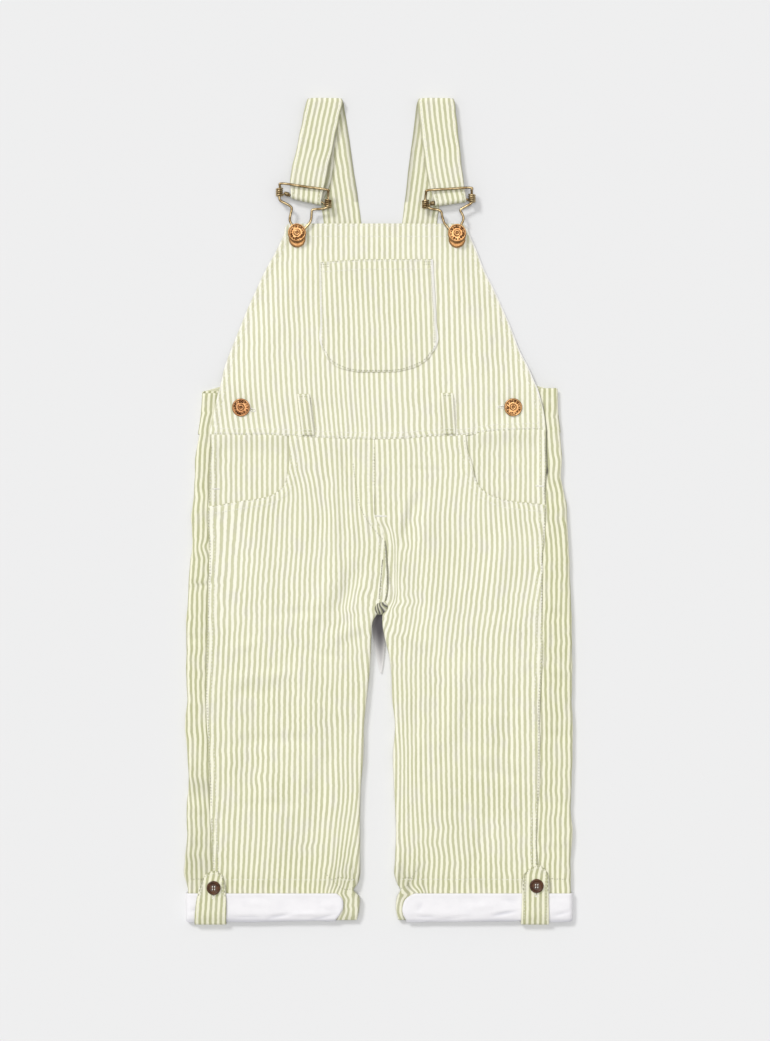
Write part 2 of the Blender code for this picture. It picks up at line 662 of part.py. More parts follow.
def back_bib():
    """Flat on the surface, with both sides wrapped forward under the front's placket."""
    floor_columns, lap_columns = 9, 3
    radius = WRAP_HEIGHT / 2
    grid = []
    for y, left, right in BACK_SIDES:
        row = []
        for k in range(lap_columns):
            row.append((lerp(right - radius - LAP, right - radius, k / lap_columns),
                        WRAP_HEIGHT, 0))
        for k in range(ARC_STEPS):
            angle = math.pi / 2 - math.pi * k / ARC_STEPS
            row.append((right - radius + radius * math.cos(angle),
                        radius + radius * math.sin(angle), k / ARC_STEPS))
        for k in range(floor_columns):
            row.append((lerp(right - radius, left + radius, k / (floor_columns - 1)), 0, 1))
        for k in range(ARC_STEPS):
            angle = math.pi * 3 / 2 - math.pi * (k + 1) / ARC_STEPS
            row.append((left + radius + radius * math.cos(angle),
                        radius + radius * math.sin(angle), 1 - (k + 1) / ARC_STEPS))
        for k in range(lap_columns):
            row.append((lerp(left + radius, left + radius + LAP, (k + 1) / lap_columns),
                        WRAP_HEIGHT, 0))
        if y is None:
            grid.append([(x, back_waist_y(x, down) + SEAM_HALF, z) for x, z, down in row])
        else:
            lean = SIDE_EDGE_TILT * (y == BACK_SIDES[-1][0])
            grid.append([(x, y + lean * x, z) for x, z, _ in row])
    hidden = [None] * (lap_columns + ARC_STEPS)
    for y, left, right in BACK_ARMHOLE:
        xs = [lerp(right, left, k / (floor_columns - 1)) for k in range(floor_columns)]
        grid.append(hidden + [(x, y, 0) for x in xs] + hidden)
    return cloth("back_bib", grid[::-1], MATERIALS["stripe_cotton"])


def bib_pocket():
    columns = 8
    grid = []
    for index, (y, left, right) in enumerate(BIB_POCKET):
        rise = POCKET_TOP_RISE if index == 0 else 0
        row = []
        for k in range(columns):
            x = lerp(left, right, k / (columns - 1))
            at = y + rise * math.sin(math.pi / 2 * min(1, (x - left) / 50))
            row.append((x, at, front_height(x, at) + LIE_GAP + WALL))
        grid.append(row)
    return cloth("bib_pocket", grid, MATERIALS["stripe_cotton"])


def belt_loop(side):
    top_x, top_y, foot_x, foot_y = BELT_LOOPS[side]
    steps = 6
    grid = []
    for k in range(steps + 1):
        t = k / steps
        x, y = lerp(top_x, foot_x, t), lerp(top_y, foot_y, t)
        z = HEIGHT + LIE_GAP + WALL + LOOP_ARCH * math.sin(math.pi * t)
        grid.append([(x + LOOP_WIDTH * share, y, z) for share in (-0.5, 0, 0.5)])
    return cloth(f"belt_loop_{side}", grid, MATERIALS["stripe_cotton"])


# ---- straps and buckles --------------------------------------------------------------------------
def strap(side):
    """One strip: sewn end, up the back, over the fold, down to the slide bar and back behind."""
    edges = [((left, y, z), (right, y, z)) for left, right, y, z in STRAP_BACK[side]]
    fold_steps = 5
    for k in range(1, fold_steps):
        angle = math.pi * k / fold_steps
        y = STRAP_FOLD_Y + STRAP_FOLD_RADIUS * math.sin(angle)
        z = STRAP_FOLD_RADIUS * (1 - math.cos(angle))
        left, right = STRAP_FRONT[side][0][0], STRAP_FRONT[side][0][2]
        edges.append(((left, y, z), (right, y, z)))
    front = [((lx, ly, z), (rx, ry, z)) for lx, ly, rx, ry, z in STRAP_FRONT[side]]
    edges += front
    (lx, ly, top), (rx, ry, _) = front[-1]
    centre = top - STRAP_FOLD_RADIUS
    for k in range(1, fold_steps + 1):
        angle = math.pi * k / fold_steps
        down = STRAP_FOLD_RADIUS * math.sin(angle)
        z = centre + STRAP_FOLD_RADIUS * math.cos(angle)
        edges.append(((lx, ly - down, z), (rx, ry - down, z)))
    edges += [((lx, ly, z), (rx, ry, z)) for lx, ly, rx, ry, z in STRAP_TAIL[side]]
    grid = [[Vector(a).lerp(Vector(b), share) for share in (0, 0.5, 1)] for a, b in edges]
    return cloth(f"strap_{side}", grid, MATERIALS["stripe_cotton"], STRAP_WALL)


def buckle(side):
    return wire(f"buckle_frame_{side}", spline(BUCKLE[side], 2, closed=True), WIRE_RADIUS,
                MATERIALS["brass_wire"], closed=True)


def coil(x, y, way, outward):
    """Turns round a side wire, ending just below it at y, where the straight bar starts."""
    per_turn = 8
    points = []
    for k in range(COIL_TURNS * per_turn + 1):
        turns_left = COIL_TURNS - k / per_turn
        angle = -math.pi / 2 - outward * math.tau * turns_left
        points.append((x + COIL_RADIUS * math.cos(angle),
                       y + way * COIL_PITCH * turns_left,
                       SIDE_WIRE_Z + COIL_RADIUS * math.sin(angle)))
    return points


def slide_bar(side):
    left_end, right_end = SLIDE_BAR[side]
    points = coil(*left_end, 1) + coil(*right_end, -1)[::-1]
    return wire(f"slide_bar_{side}", points, SLIDE_RADIUS, MATERIALS["brass_wire"])


# ---- turn-ups and tabs -----------------------------------------------------------------------------
def cuff(side):
    """The turn-up: across the front, round the outer fold and under the back, with a lip."""
    sign = SIGN[side]
    across = 8
    outer = LEG_SECTIONS[side][-1][1] + sign * CUFF_STEP
    top = HEIGHT + CUFF_STEP
    radius = top / 2
    arc_x = outer - sign * radius

    def section(inner):
        """(x, z, inward normal) round the section."""
        points = [(lerp(inner, arc_x, k / across), top, (0, -1)) for k in range(across)]
        for k in range(ARC_STEPS + 1):
            angle = math.pi / 2 - math.pi * k / ARC_STEPS
            normal = (-sign * math.cos(angle), -math.sin(angle))
            points.append((arc_x - radius * normal[0], radius - radius * normal[1], normal))
        points += [(lerp(arc_x, inner, k / across), 0, (0, 1)) for k in range(1, across + 1)]
        return points

    grid = [[(x, y, z) for x, z, _ in section(inner)] for y, inner in CUFF_INNER[side]]
    foot = section(CUFF_INNER[side][-1][1])
    for k in range(1, LIP_STEPS + 1):
        angle = math.pi * k / LIP_STEPS
        inward = LIP_RADIUS * (1 - math.cos(angle))
        y = CUFF_FOLD - LIP_RADIUS * math.sin(angle)
        grid.append([(x + nx * inward, y, z + nz * inward) for x, z, (nx, nz) in foot])
    if side == "left":
        grid = [row[::-1] for row in grid]
    return cloth(f"cuff_{side}", grid, MATERIALS["lining"])


def tab(side):
    """Roll-up tab: from its point over the turn-up, round the foot and back inside the leg."""
    rows = []
    for y, left, right, layer in TAB[side]:
        middle = (left + right) / 2
        z = front_height(middle, y) + LIE_GAP + WALL + layer * CUFF_STEP
        rows.append((y, left, right, z))
    _, left, right, top = rows[-1]
    radius = LIP_RADIUS + LIE_GAP + WALL
    steps = 5
    for k in range(1, steps + 1):
        angle = math.pi * k / steps
        rows.append((CUFF_FOLD - radius * math.sin(angle), left, right,
                     top - radius * (1 - math.cos(angle))))
    rows.append((CUFF_FOLD + TAB_TAIL, left, right, top - 2 * radius))
    grid = [[(lerp(left, right, share), y, z) for share in (0, 0.5, 1)]
            for y, left, right, z in rows]
    return cloth(f"tab_{side}", grid, MATERIALS["stripe_cotton"])


# ---- buttons ---------------------------------------------------------------------------------------
def bib_button(side, carrier):
    x, y, lean = BIB_BUTTONS[side]
    r = BIB_BUTTON_RADIUS
    foot = top_of(carrier, x, y, r * 0.9) + GAP
    profile = ((0, 0), (r * 0.88, 0), (r * 0.92, 0.5), (r * 0.8, 1.0), (2.4, 1.3), (2.2, 3.9),
               (r * 0.86, 4.2), (r, 4.9), (r * 0.97, 5.6), (r * 0.8, 5.9), (0, 6.0))
    return turned(f"bib_button_{side}", profile, (x, y, foot), MATERIALS["copper"], lean)


def side_button(side, carrier, front):
    x, y = SIDE_BUTTONS[side]
    foot = top_of(carrier, x, y, SHANK_RADIUS) + GAP
    rise = top_of(front, x, y, SIDE_BUTTON_RADIUS) + GAP - foot
    r = SIDE_BUTTON_RADIUS
    profile = ((0, 0), (SHANK_RADIUS, 0), (SHANK_RADIUS, rise), (r * 0.9, rise),
               (r, rise + 0.6), (r * 0.96, rise + 1.3), (r * 0.78, rise + 1.7), (0, rise + 1.9))
    return turned(f"side_button_{side}", profile, (x, y, foot), MATERIALS["copper"])


def tab_button(side, carrier):
    x, y = TAB_BUTTONS[side]
    r = TAB_BUTTON_RADIUS
    foot = top_of(carrier, x, y, r) + GAP
    profile = ((0, 0), (r * 0.8, 0), (r, 0.8), (r * 0.96, 1.7), (r * 0.82, 2.0),
               (r * 0.66, 1.5), (0, 1.4))
    return turned(f"tab_button_{side}", profile, (x, y, foot), MATERIALS["brown_button"])


# ---- the garment -----------------------------------------------------------------------------------
clear_scene()
PARTS = new_collection("kids_bib_overalls")
CUTTERS = new_collection("cutters")
MATERIALS = {name: make_material(name, *values) for name, values in COLOURS.items()}

bib_front = front_bib()
bib_back = back_bib()
bib_pocket()
for which in ("left", "right"):
    front_leg(which)
    back_leg(which)
    pocket_facing(which)
    belt_loop(which)
    strap(which)
    buckle(which)
    slide_bar(which)
    cuff(which)
    tab_piece = tab(which)
    bib_button(which, bib_front)
    side_button(which, bib_back, bib_front)
    tab_button(which, tab_piece)
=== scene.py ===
"""Kids bib overalls laid flat, front up: the cloth, sewing, metal and light round the frame.

Lengths are millimetres until a mesh is made. X runs across the garment, +Y towards the bib and Z
up from the surface. "left" and "right" are the viewer's, looking at the front.
"""

from functools import partial
import math

import bpy
import numpy as np
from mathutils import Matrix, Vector


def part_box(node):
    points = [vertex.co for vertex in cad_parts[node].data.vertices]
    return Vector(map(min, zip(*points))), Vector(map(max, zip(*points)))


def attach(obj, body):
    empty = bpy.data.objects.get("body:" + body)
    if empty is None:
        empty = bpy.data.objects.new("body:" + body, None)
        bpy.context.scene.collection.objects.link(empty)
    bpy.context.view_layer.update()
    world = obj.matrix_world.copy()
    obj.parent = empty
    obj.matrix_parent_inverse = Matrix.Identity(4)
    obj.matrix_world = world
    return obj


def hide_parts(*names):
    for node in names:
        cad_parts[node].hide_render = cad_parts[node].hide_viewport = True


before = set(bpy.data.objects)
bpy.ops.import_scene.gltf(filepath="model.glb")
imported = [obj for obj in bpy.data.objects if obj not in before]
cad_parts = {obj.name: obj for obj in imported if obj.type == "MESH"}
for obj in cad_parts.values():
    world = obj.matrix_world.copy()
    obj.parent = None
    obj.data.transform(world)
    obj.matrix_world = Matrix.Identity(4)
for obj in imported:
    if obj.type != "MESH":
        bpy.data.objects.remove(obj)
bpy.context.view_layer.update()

MM = 0.001

# ---- sizes, in millimetres -----------------------------------------------------------------------
CLOTH = 0.9             # thickness of one layer of cloth
STRAP_CLOTH = 1.6       # two layers, sewn together
WALL = 1.2              # what one layer takes up in the frame
GAP = 0.3               # room between two pieces at a seam
SEAM_HALF = GAP / 2
TUCK = 1.5              # how far a panel runs on under another at a seam
TUCK_DROP = 1.05        # how far it drops there
LIE_GAP = 0.45          # room under a piece that lies on a panel
HEIGHT = 7.0            # outer face of the front legs and the waist above the surface
WRAP_HEIGHT = 5.8       # back panel where the front laps over it
LEG_MIDDLE = 75.0       # x of a leg's highest line
LEG_CROWN = 1.0         # how far the middle of a leg stands above its edges
EDGE_STRAIGHT = 1.0     # straight part of a leg's inner edge, after its bend
WAIST_BACK = 64.4       # waist seam on the hidden side
BIB_FOOT = 62.0         # the bib's lowest row, before it follows the waist seam
FACING_TOP = 64.0       # a pocket facing's highest row, before it follows the waist seam
SIDE_TOP = 101.5        # where the back bib's sides end and its armholes start
BACK_TOP = 180.0
BACK_LAP = 38.0         # how far the back bib runs in under the front
BIB_TOP = 243.9
BIB_EDGE_FALL = 32.0    # from the bib's edge to where it lies at its middle's height
POCKET_TOP = 210.8
POCKET_TOP_RISE = 2.6   # how much higher the pocket's top runs away from its left corner
FACING_DROP = 1.75      # how far a facing lies below the front leg
FACING_SHOWS = 80.0     # from here out it isn't under the front leg at the waist
HEM_Y = -314.0          # the hem's row of stitches
CUFF_TOP = -325.6
CUFF_FOLD = -349.7
LEG_END = -348.8
CUFF_STEP = WALL + GAP  # how much higher the turn-up lies than the leg
LIP_RADIUS = 1.35       # the fold at the turn-up's lower edge
FOOT_ROLL = 9.0         # how far above its lower edge the turn-up starts to curve down
FOOT_DROP = 2.3
STRAP_FOLD_Y = 347.8
STRAP_FOLD_RADIUS = 3.0
STRAP_CORNER = 1.3      # how far a strap draws in at the corners of its top fold
LOOP_WIDTH = 10.4
LOOP_ARCH = 1.2
TAB_TAIL = 8.0          # how far a tab runs back inside the leg
WIRE_RADIUS = 1.05
SLIDE_RADIUS = 0.8
COIL_RADIUS = 2.4
COIL_PITCH = 1.65
COIL_TURNS = 4
BAR_BEND = 4.4          # from a coil's middle to where the slide bar runs straight
SIDE_WIRE_Z = 7.1
BIB_BUTTON_RADIUS = 7.7
BIB_BUTTON_LEAN = 5.6   # how far the strap draws a bib button's head up
SIDE_BUTTON_RADIUS = 7.6
TAB_BUTTON_RADIUS = 5.9
TAB_HOLE = (0.95, 1.2)  # from the middle of a tab button to each of its four holes
BIB_PITCH = 4.39        # from one green stripe to the next on the bib, straps and facings
LEG_PITCH = 4.47        # on the front legs
STRIP_PITCH = 4.3       # on the back legs
LEG_GRID = 1.6          # from one row of points to the next on a front leg
SCOOP_GRID = 0.35       # the least, beside the pocket's scoop
STRIP_GRID = 1.9        # on a back leg
LEG_EDGE = (0, 0.35, 0.8, 1.4, 2.2, 3.2, 4.4)     # close columns by a panel's edge
BIB_EDGE = (0, 0.35, 0.8, 1.5, 2.4)
POCKET_EDGE = (0, 0.4, 1.0, 1.8, 2.4, 3.2)
STRIP_LAP = (1.6, 0.8, 0.2, -0.6, -1.6)     # and of a side strip, from beneath the front outwards
STITCH = 3.1            # from one stitch to the next
WAIST_ROWS = (1.5, 5.2)     # rows of stitches, from the seam or edge that they follow
BIB_SIDE_ROWS = (1.7, 5.2)
BIB_TOP_ROWS = (1.9, 11.0)
POCKET_TOP_ROWS = (1.5, 8.5)
SCOOP_ROWS = (1.6, 6.4)
SIDE_ROWS = (1.5, 5.0)
CENTRE_ROWS = (1.5, 5.6)
STRAP_ROW = 2.4         # and from the edges of a strap or tab

SIGN = {"left": -1, "right": 1}

# ---- outlines ------------------------------------------------------------------------------------
LEG_ROWS = (
    # y, how far the inner edge is turned under, and the x of the outer fold, side seam and inner
    # edge of the left leg, then of the right
    (64, 0, -154, -143.9, -4.7, 153.4, 141.4, -4.7),
    (51, 0, -156.1, -143.9, -4.7, 154.4, 141.4, -4.7),
    (38.2, 0, -157.5, -145.3, -4.7, 154.7, 141.8, -4.7),
    (25.5, 0, -158, -145.3, -4.7, 154.7, 141.2, -4.7),
    (15.3, 0, -158.1, -145.5, -4.7, 156.3, 140.6, -4.7),
    (4.2, 0, -159, -146.1, -4.7, 158.4, 141.1, -4.7), (-6, 0, -160.6, -147, -4, 159.1, 141.1, -4),
    (-17, 0, -160.2, -146.3, 2.2, 159.8, 140.4, 2.2),
    (-29.8, 0, -159.8, -145.4, 5.3, 160.6, 139.5, 5.3),
    (-42.5, 0, -161.1, -145.4, 6.3, 161.1, 138.5, 6.3),
    (-58, 0, -162.6, -145.7, 7, 161.6, 138.5, 7), (-72, 0, -162.9, -146.2, 6.4, 162.1, 138.5, 6.4),
    (-81, 0.1, -163.4, -146.5, 3.4, 162.4, 138.5, 4.2),
    (-87.5, 0.7, -164.1, -146.8, -1.6, 162.8, 138.5, 2.2),
    (-93.5, 1, -164.9, -147, -5.5, 163.2, 138.5, 1.9),
    (-106.2, 1, -165.3, -147.4, -7.2, 163.6, 138.5, 3.4),
    (-123.2, 1, -165, -147.9, -7.9, 163.9, 138.5, 7.6),
    (-140.2, 1, -164.6, -148.1, -9.1, 163.3, 137.6, 9.6),
    (-160, 1, -164, -148.2, -11.2, 163.2, 136.1, 10.2),
    (-182.8, 1, -165.8, -147, -13.6, 164, 136, 12.8), (-208.2, 1, -164, -146, -14, 164, 136, 11),
    (-233.8, 1, -163.2, -144.9, -16.2, 163.2, 135.6, 11.9),
    (-255, 1, -164.9, -144.3, -17, 162.6, 134.6, 13),
    (-276.2, 1, -164, -143.7, -17, 164, 133.6, 13.6),
    (-297.5, 1, -166.4, -142.5, -17, 162.4, 134.1, 12.8),
    (-311.1, 1, -166.9, -141.9, -17.2, 162.6, 134.3, 12.4),
    (-318.5, 1, -164.8, -141.7, -19.2, 162.7, 134.3, 14.8),
    (-323.2, 1, -163.4, -141.7, -22.6, 162.5, 134.3, 17.6),
    (-328, 1, -163.4, -141.6, -18, 162.5, 134.3, 15),
    (-337, 1, -163.4, -141.4, -17.4, 162.5, 134.3, 13.4),
    (LEG_END, 1, -163.4, -141.1, -19.6, 162.5, 134.3, 15.3),
)
LEG_SECTIONS = {
    # y, outer fold, side seam, inner edge, turned under
    side: [(row[0], *row[first:first + 3], row[1]) for row in LEG_ROWS]
    for side, first in (("left", 2), ("right", 5))
}

BIB_SECTIONS = (
    # y, left edge, right edge, height at the edges, height in the middle
    (BIB_TOP, -78.2, 71.4, 3.4, 4.2), (241.2, -80.4, 73.6, 3.4, 4.2),
    (236.3, -81.6, 75.6, 3.3, 4.3), (221, -88.4, 82.5, 2.4, 4.6),
    (204, -97.8, 89.2, 1.8, 4.9), (187, -105.8, 97.8, 1.6, 5.2),
    (170, -113.5, 105.4, 1.6, 5.6), (153, -120.3, 112.6, 2, 6),
    (136, -127.1, 119, 3, 6.3), (119, -133, 127.5, 4.6, 6.6),
    (110.5, -134.7, 130.9, 6, 6.8), (103.7, -136.4, 133.9, HEIGHT, HEIGHT),
    (90, -139.8, 137.4, HEIGHT, HEIGHT), (78, -141.9, 139.4, HEIGHT, HEIGHT),
    (64, -144.9, 141.1, HEIGHT, HEIGHT),
)

WAIST_SEAM = (
    # x, y
    (-160, 65), (-120.7, 63.8), (-93.5, 63.8), (-65.5, 62.4), (-20.4, 60.6), (0, 60.4),
    (22.1, 60.9), (40.8, 62.6), (74, 63.8), (92.6, 66.7), (115.6, 68), (160, 68.3),
)
BACK_SIDES = (
    # y, left, right
    (WAIST_BACK, -155, 153.7), (82, -152.6, 152), (SIDE_TOP, -151.3, 151.3),
)
BACK_ARMHOLE = (
    (SIDE_TOP, -148.8, 148.8), (107, -130, 130), (115, -110, 109),
    (130, -90, 88), (150, -71, 70), (168, -58, 60), (BACK_TOP, -52, 56),
)
BIB_POCKET = (
    # y, left, right
    (POCKET_TOP, -51.9, 45), (199, -51.6, 45.9), (180, -51.2, 47.2), (160, -50.8, 48.2),
    (139.7, -50.3, 48.3), (133.2, -47.2, 44.4), (125.8, -42.1, 37.7), (119.8, -31, 24.5),
    (117.4, -20.4, 13.6),
)
SCOOP = {
    # x and y down the edge of the jeans pocket's opening
    "left": ((-77.3, 80), (-77.3, 51), (-77.3, 38.2), (-79.9, 25.5), (-84, 18.6),
             (-90.5, 13.6), (-100.3, 10.2), (-119, 7.6), (-144.5, 3.4), (-175, 2)),
    "right": ((71.4, 80), (74, 53.5), (77, 44.2), (81.2, 27.2), (84.4, 20.8),
              (89.8, 15.4), (98, 11.4), (110.5, 8), (139.4, 5.1), (172, 4)),
}
FACING_INNER = {
    # y, x
    "left": ((64, -69), (51, -69), (38, -69), (25, -71), (12, -77),
             (4, -89), (-2, -112)),
    "right": ((64, 66), (51, 66), (38, 69.5), (25, 73), (12, 78),
              (5, 88), (-1, 106)),
}
CUFF_INNER = {
    # y, x
    "left": ((CUFF_TOP, -37), (-328.6, -33.4), (-336, -31.2), (-343.5, -33.2),
             (CUFF_FOLD, -37.4)),
    "right": ((CUFF_TOP, 29.6), (-328.6, 24), (-336, 19.4), (-343.5, 19.4),
              (CUFF_FOLD, 22.4)),
}
TAB = {
    # y, left, right, and 1 where it lies on the turn-up
    "left": ((-306.3, -142.2, -140, 0), (-309.6, -148, -134.4, 0),
             (-312.5, -150.2, -133.2, 0), (-316, -152, -132.4, 1),
             (-328.1, -155.2, -130.6, 1), (-340, -157, -130.4, 1),
             (CUFF_FOLD, -157.6, -130.8, 1)),
    "right": ((-301.5, 133.6, 135.8, 0), (-305, 127.4, 140, 0),
              (-309.5, 122.2, 143, 0), (-314, 121.2, 143.2, 1),
              (-328, 120.6, 143.3, 1), (-340, 120.2, 143.5, 1),
              (CUFF_FOLD, 119.9, 143.7, 1)),
}
HEM_GATHER = {
    # where the hem's cloth is caught in at the inner end of the turn-up
    "left": ((-47.4, -308), (-40.4, -314.6), (-33.4, -321), (-27, -322.6), (-21.8, -320)),
    "right": ((31, -306), (27, -313), (23, -319), (18, -321.6), (14.6, -320.4)),
}
FLY_CURVE = (
    # x, y
    (-23, 40), (-20.4, 21.3), (-17.9, 6), (-13.6, -4.3), (-7.7, -13.2), (-1.5, -20.6),
    (4.4, -27),
)
BELT_LOOPS = {
    # x and y of the top's middle, then of the foot's
    "left": (-65.2, 98.6, -60.8, 63.4), "right": (56.8, 99.5, 59.2, 64.4),
}
STRAP_BACK = {
    # left x, right x, y, z
    "left": ((-39.5, -8.5, 172, 1.5), (-42.8, -11.5, 196, 1.5), (-45.2, -13.6, 214, 0),
             (-48, -16.1, 243.9, 0), (-55, -23.2, 295, 0),
             (-62.6, -31, STRAP_FOLD_Y, 0)),
    "right": ((8, 38, 172, 1.5), (11.8, 41.6, 196, 1.5), (14.4, 44.3, 214, 0),
              (18.7, 48.4, 243.9, 0), (24.8, 55.6, 295, 0),
              (31.6, 63.4, STRAP_FOLD_Y, 0)),
}
STRAP_FRONT = {
    # left x, left y, right x, right y, z
    "left": ((-62.8, 347.8, -31.3, 347.8, 6), (-69.8, 312, -39.8, 310, 6),
             (-76.3, 280, -47, 276, 7), (-75.9, 268, -50.2, 261.8, 8.1)),
    "right": ((31.8, 347.8, 63.6, 347.8, 6), (36.4, 311, 67.4, 313, 6),
              (42.3, 276, 71.2, 279, 7), (46.8, 261.2, 73.2, 264.7, 8.1)),
}
STRAP_TAIL = {
    "left": ((-75.4, 271, -48, 265, 2.1), (-71.4, 279, -43, 277, 2.1),
             (-66.5, 312, -38.4, 312, 2.1), (-61.6, 341.6, -33.4, 341.6, 2.1)),
    "right": ((46.4, 265, 72.8, 268, 2.1), (42.8, 277, 71, 279, 2.1),
              (38, 312, 66.6, 312, 2.1), (33.8, 341.6, 62.2, 341.6, 2.1)),
}
BUCKLE = {
    # x, y, z round the middle of the wire
    "left": (
        (-83.4, 277.2, 9.4), (-64, 274.6, 9.5), (-45.4, 272, 9.4), (-44, 270, 8.8),
        (-44, 266.2, 7.2), (-44.2, 261.2, 7.1), (-44.6, 258, 7.1), (-47.2, 256.3, 7.1),
        (-52.5, 255.8, 7), (-57.2, 255.2, 7), (-58.1, 252.4, 7.1), (-58.3, 248.4, 7.1),
        (-59.8, 244, 7.1), (-63.4, 239.8, 7.1), (-66.4, 235, 7.1), (-67.4, 231, 7.1),
        (-70.5, 228.9, 7.1), (-73.6, 231, 7.1), (-74.3, 236, 7.1), (-74.6, 241, 7.1),
        (-76.6, 246.4, 7.1), (-76, 251.5, 7.1), (-75, 256.2, 7), (-76.8, 258.6, 7),
        (-81, 261, 7), (-84.6, 263, 7.1), (-85.6, 266, 7.1), (-85.4, 270, 7.1),
        (-84.9, 274.4, 8.4),
    ),
    "right": (
        (41, 271.4, 9.4), (58, 272.6, 9.5), (76.6, 273.6, 9.4), (77.8, 271.4, 8.9),
        (78, 267.8, 7.3), (78.3, 264, 7.1), (78, 261.4, 7.1), (75.4, 259.4, 7.1),
        (71.6, 257.4, 7), (68.4, 255, 7), (69.4, 252.4, 7.1), (70.9, 249, 7.1),
        (70.4, 245.4, 7.1), (68.6, 241.4, 7.1), (68.6, 236, 7.1), (68.6, 231, 7.1),
        (65.5, 228.6, 7.1), (62.4, 231, 7.1), (60.6, 236, 7.1), (57.4, 240.4, 7.1),
        (54.6, 244.2, 7.1), (53, 249, 7.1), (52.2, 253, 7), (50, 255, 7),
        (45.4, 255.8, 7), (41, 257.2, 7.1), (39, 260.2, 7.1), (38.6, 264, 7.1),
        (39, 268.4, 8.4),
    ),
}
SLIDE_BAR = {
    # x, y of the middle of the coil at each end
    "left": ((-85.5, 270.3), (-44.1, 260.6)),
    "right": ((38.6, 260.2), (78.2, 265.2)),
}
BIB_BUTTONS = {"left": (-70.5, 230.3), "right": (65.5, 230)}      # x, y
SIDE_BUTTONS = {"left": (-118.1, 87.1), "right": (113.2, 87.3)}
SIDE_TILT = {"left": (0.07, 0.12), "right": (-0.04, 0.06)}          # rise along x and y
SIDE_METAL = {"left": "red_copper", "right": "copper"}
TAB_BUTTONS = {"left": (-141.1, -320.6), "right": (132.9, -318.9)}

# ---- stripes -------------------------------------------------------------------------------------
# Where numbered green stripes of a panel run: y, then the x of each stripe named in the first row.
LEG_STRIPE_ROWS = (
    # y, then seven stripes of the left leg and seven of the right
    (64, -157, -132, -107, -84, -61.5, -37.5, -16, 17, 38.5, 60.5, 83, 105, 127, 149),
    (34, -153, -124.5, -100, -78, -57.5, -36, -16.5, 18, 40, 62.5, 84, 105, 126.5, 148.5),
    (17, -150, -115, -93.5, -74, -55, -35.5, -16.5, 18, 40, 61.5, 82.5, 102, 121, 143),
    (-4, -146, -116.5, -95, -74.5, -52.5, -34.5, -15.5, 18.5, 38.5, 59.5, 81.5, 102.5, 123, 145),
    (-30, -146, -119, -97, -75, -53.5, -33.5, -13.5, 19, 38.5, 59.5, 82, 104, 125.5, 147),
    (-55, -147, -120.5, -99, -76.5, -55, -33, -15, 17, 37, 58.5, 80, 102.5, 125, 147),
    (-81, -147, -122.5, -100, -77.5, -55.5, -33.5, -19, 17, 35, 56, 77, 100, 121, 143),
    (-110, -146, -123.5, -101, -78.5, -56.5, -35, -16.5, 11.5, 31.5, 52.5, 74, 96.5, 119, 142),
    (-162, -149, -126, -103.5, -81, -58.5, -36.5, -13.5, 11.5, 30.5, 51, 73.5, 95.5, 118.5, 141.5),
    (-212, -149.5, -126.5, -104, -81.5, -58.5, -35.5, -15.5, 14, 30.5, 51.5, 73.5, 96, 119, 142),
    (-246, -150, -127, -104.5, -82, -59, -35, -16, 13.5, 31, 52.5, 74, 97, 119.5, 142),
    (-272, -151, -128.5, -105, -83, -60, -38, -19.5, 12.5, 32.5, 53, 74.5, 97.5, 120, 142),
    (-297, -152, -129.5, -106.5, -84.5, -62, -40, -24, 13, 33.5, 54.5, 76.5, 98.5, 120.5, 142),
    (-322, -153, -130, -108.5, -86, -63.5, -43.5, -27, 12, 31.5, 53.5, 77, 99.5, 121.5, 143),
)
LEG_STRIPES = {
    side: [("y", 0, 5, 10, 15, 20, 25, 30)]
    + [(row[0], *row[first:first + 7]) for row in LEG_STRIPE_ROWS]
    for side, first in (("left", 1), ("right", 8))
}
STRIP_STRIPES = {
    # y, and the x of one green stripe on the side strip there
    "left": ((98, -147.5), (84, -148.1), (69, -150.8), (47, -152.9), (25, -154.5), (3, -155.1),
             (-17, -155), (-50, -154.8), (-81, -155.8), (-131, -156.5), (-170, -156),
             (-220, -155), (-246, -153), (-270, -152), (-350, -152)),
    "right": ((98, 144.2), (79, 144.8), (59, 147), (38, 147.7), (22, 149.3), (6, 151.6),
              (-17, 153.3), (-50, 155), (-80, 154.5), (-130, 154), (-200, 154.5), (-260, 154),
              (-350, 153.5)),
}
BIB_STRIPES = (
    ("y", -19, -16, 0, 15, 19),
    (244, -87.5, -74.5, -5, 62, 79),
    (221, -87.5, -74.5, -5, 62, 79),
    (178, -86.5, -74, -5, 63, 80.5),
    (153, -85.5, -72.5, -5, 63.5, 81.5),
    (106, -84, -70.5, -5, 65.5, 83.5),
    (76, -81, -67.5, -3.5, 66.5, 84),
    (62, -79, -66, -3, 66.5, 84.5),
)
POCKET_STRIPES = (
    ("y", 0),
    (213, -7), (178, -5.5), (153, -4.5), (117, -3.5),
)

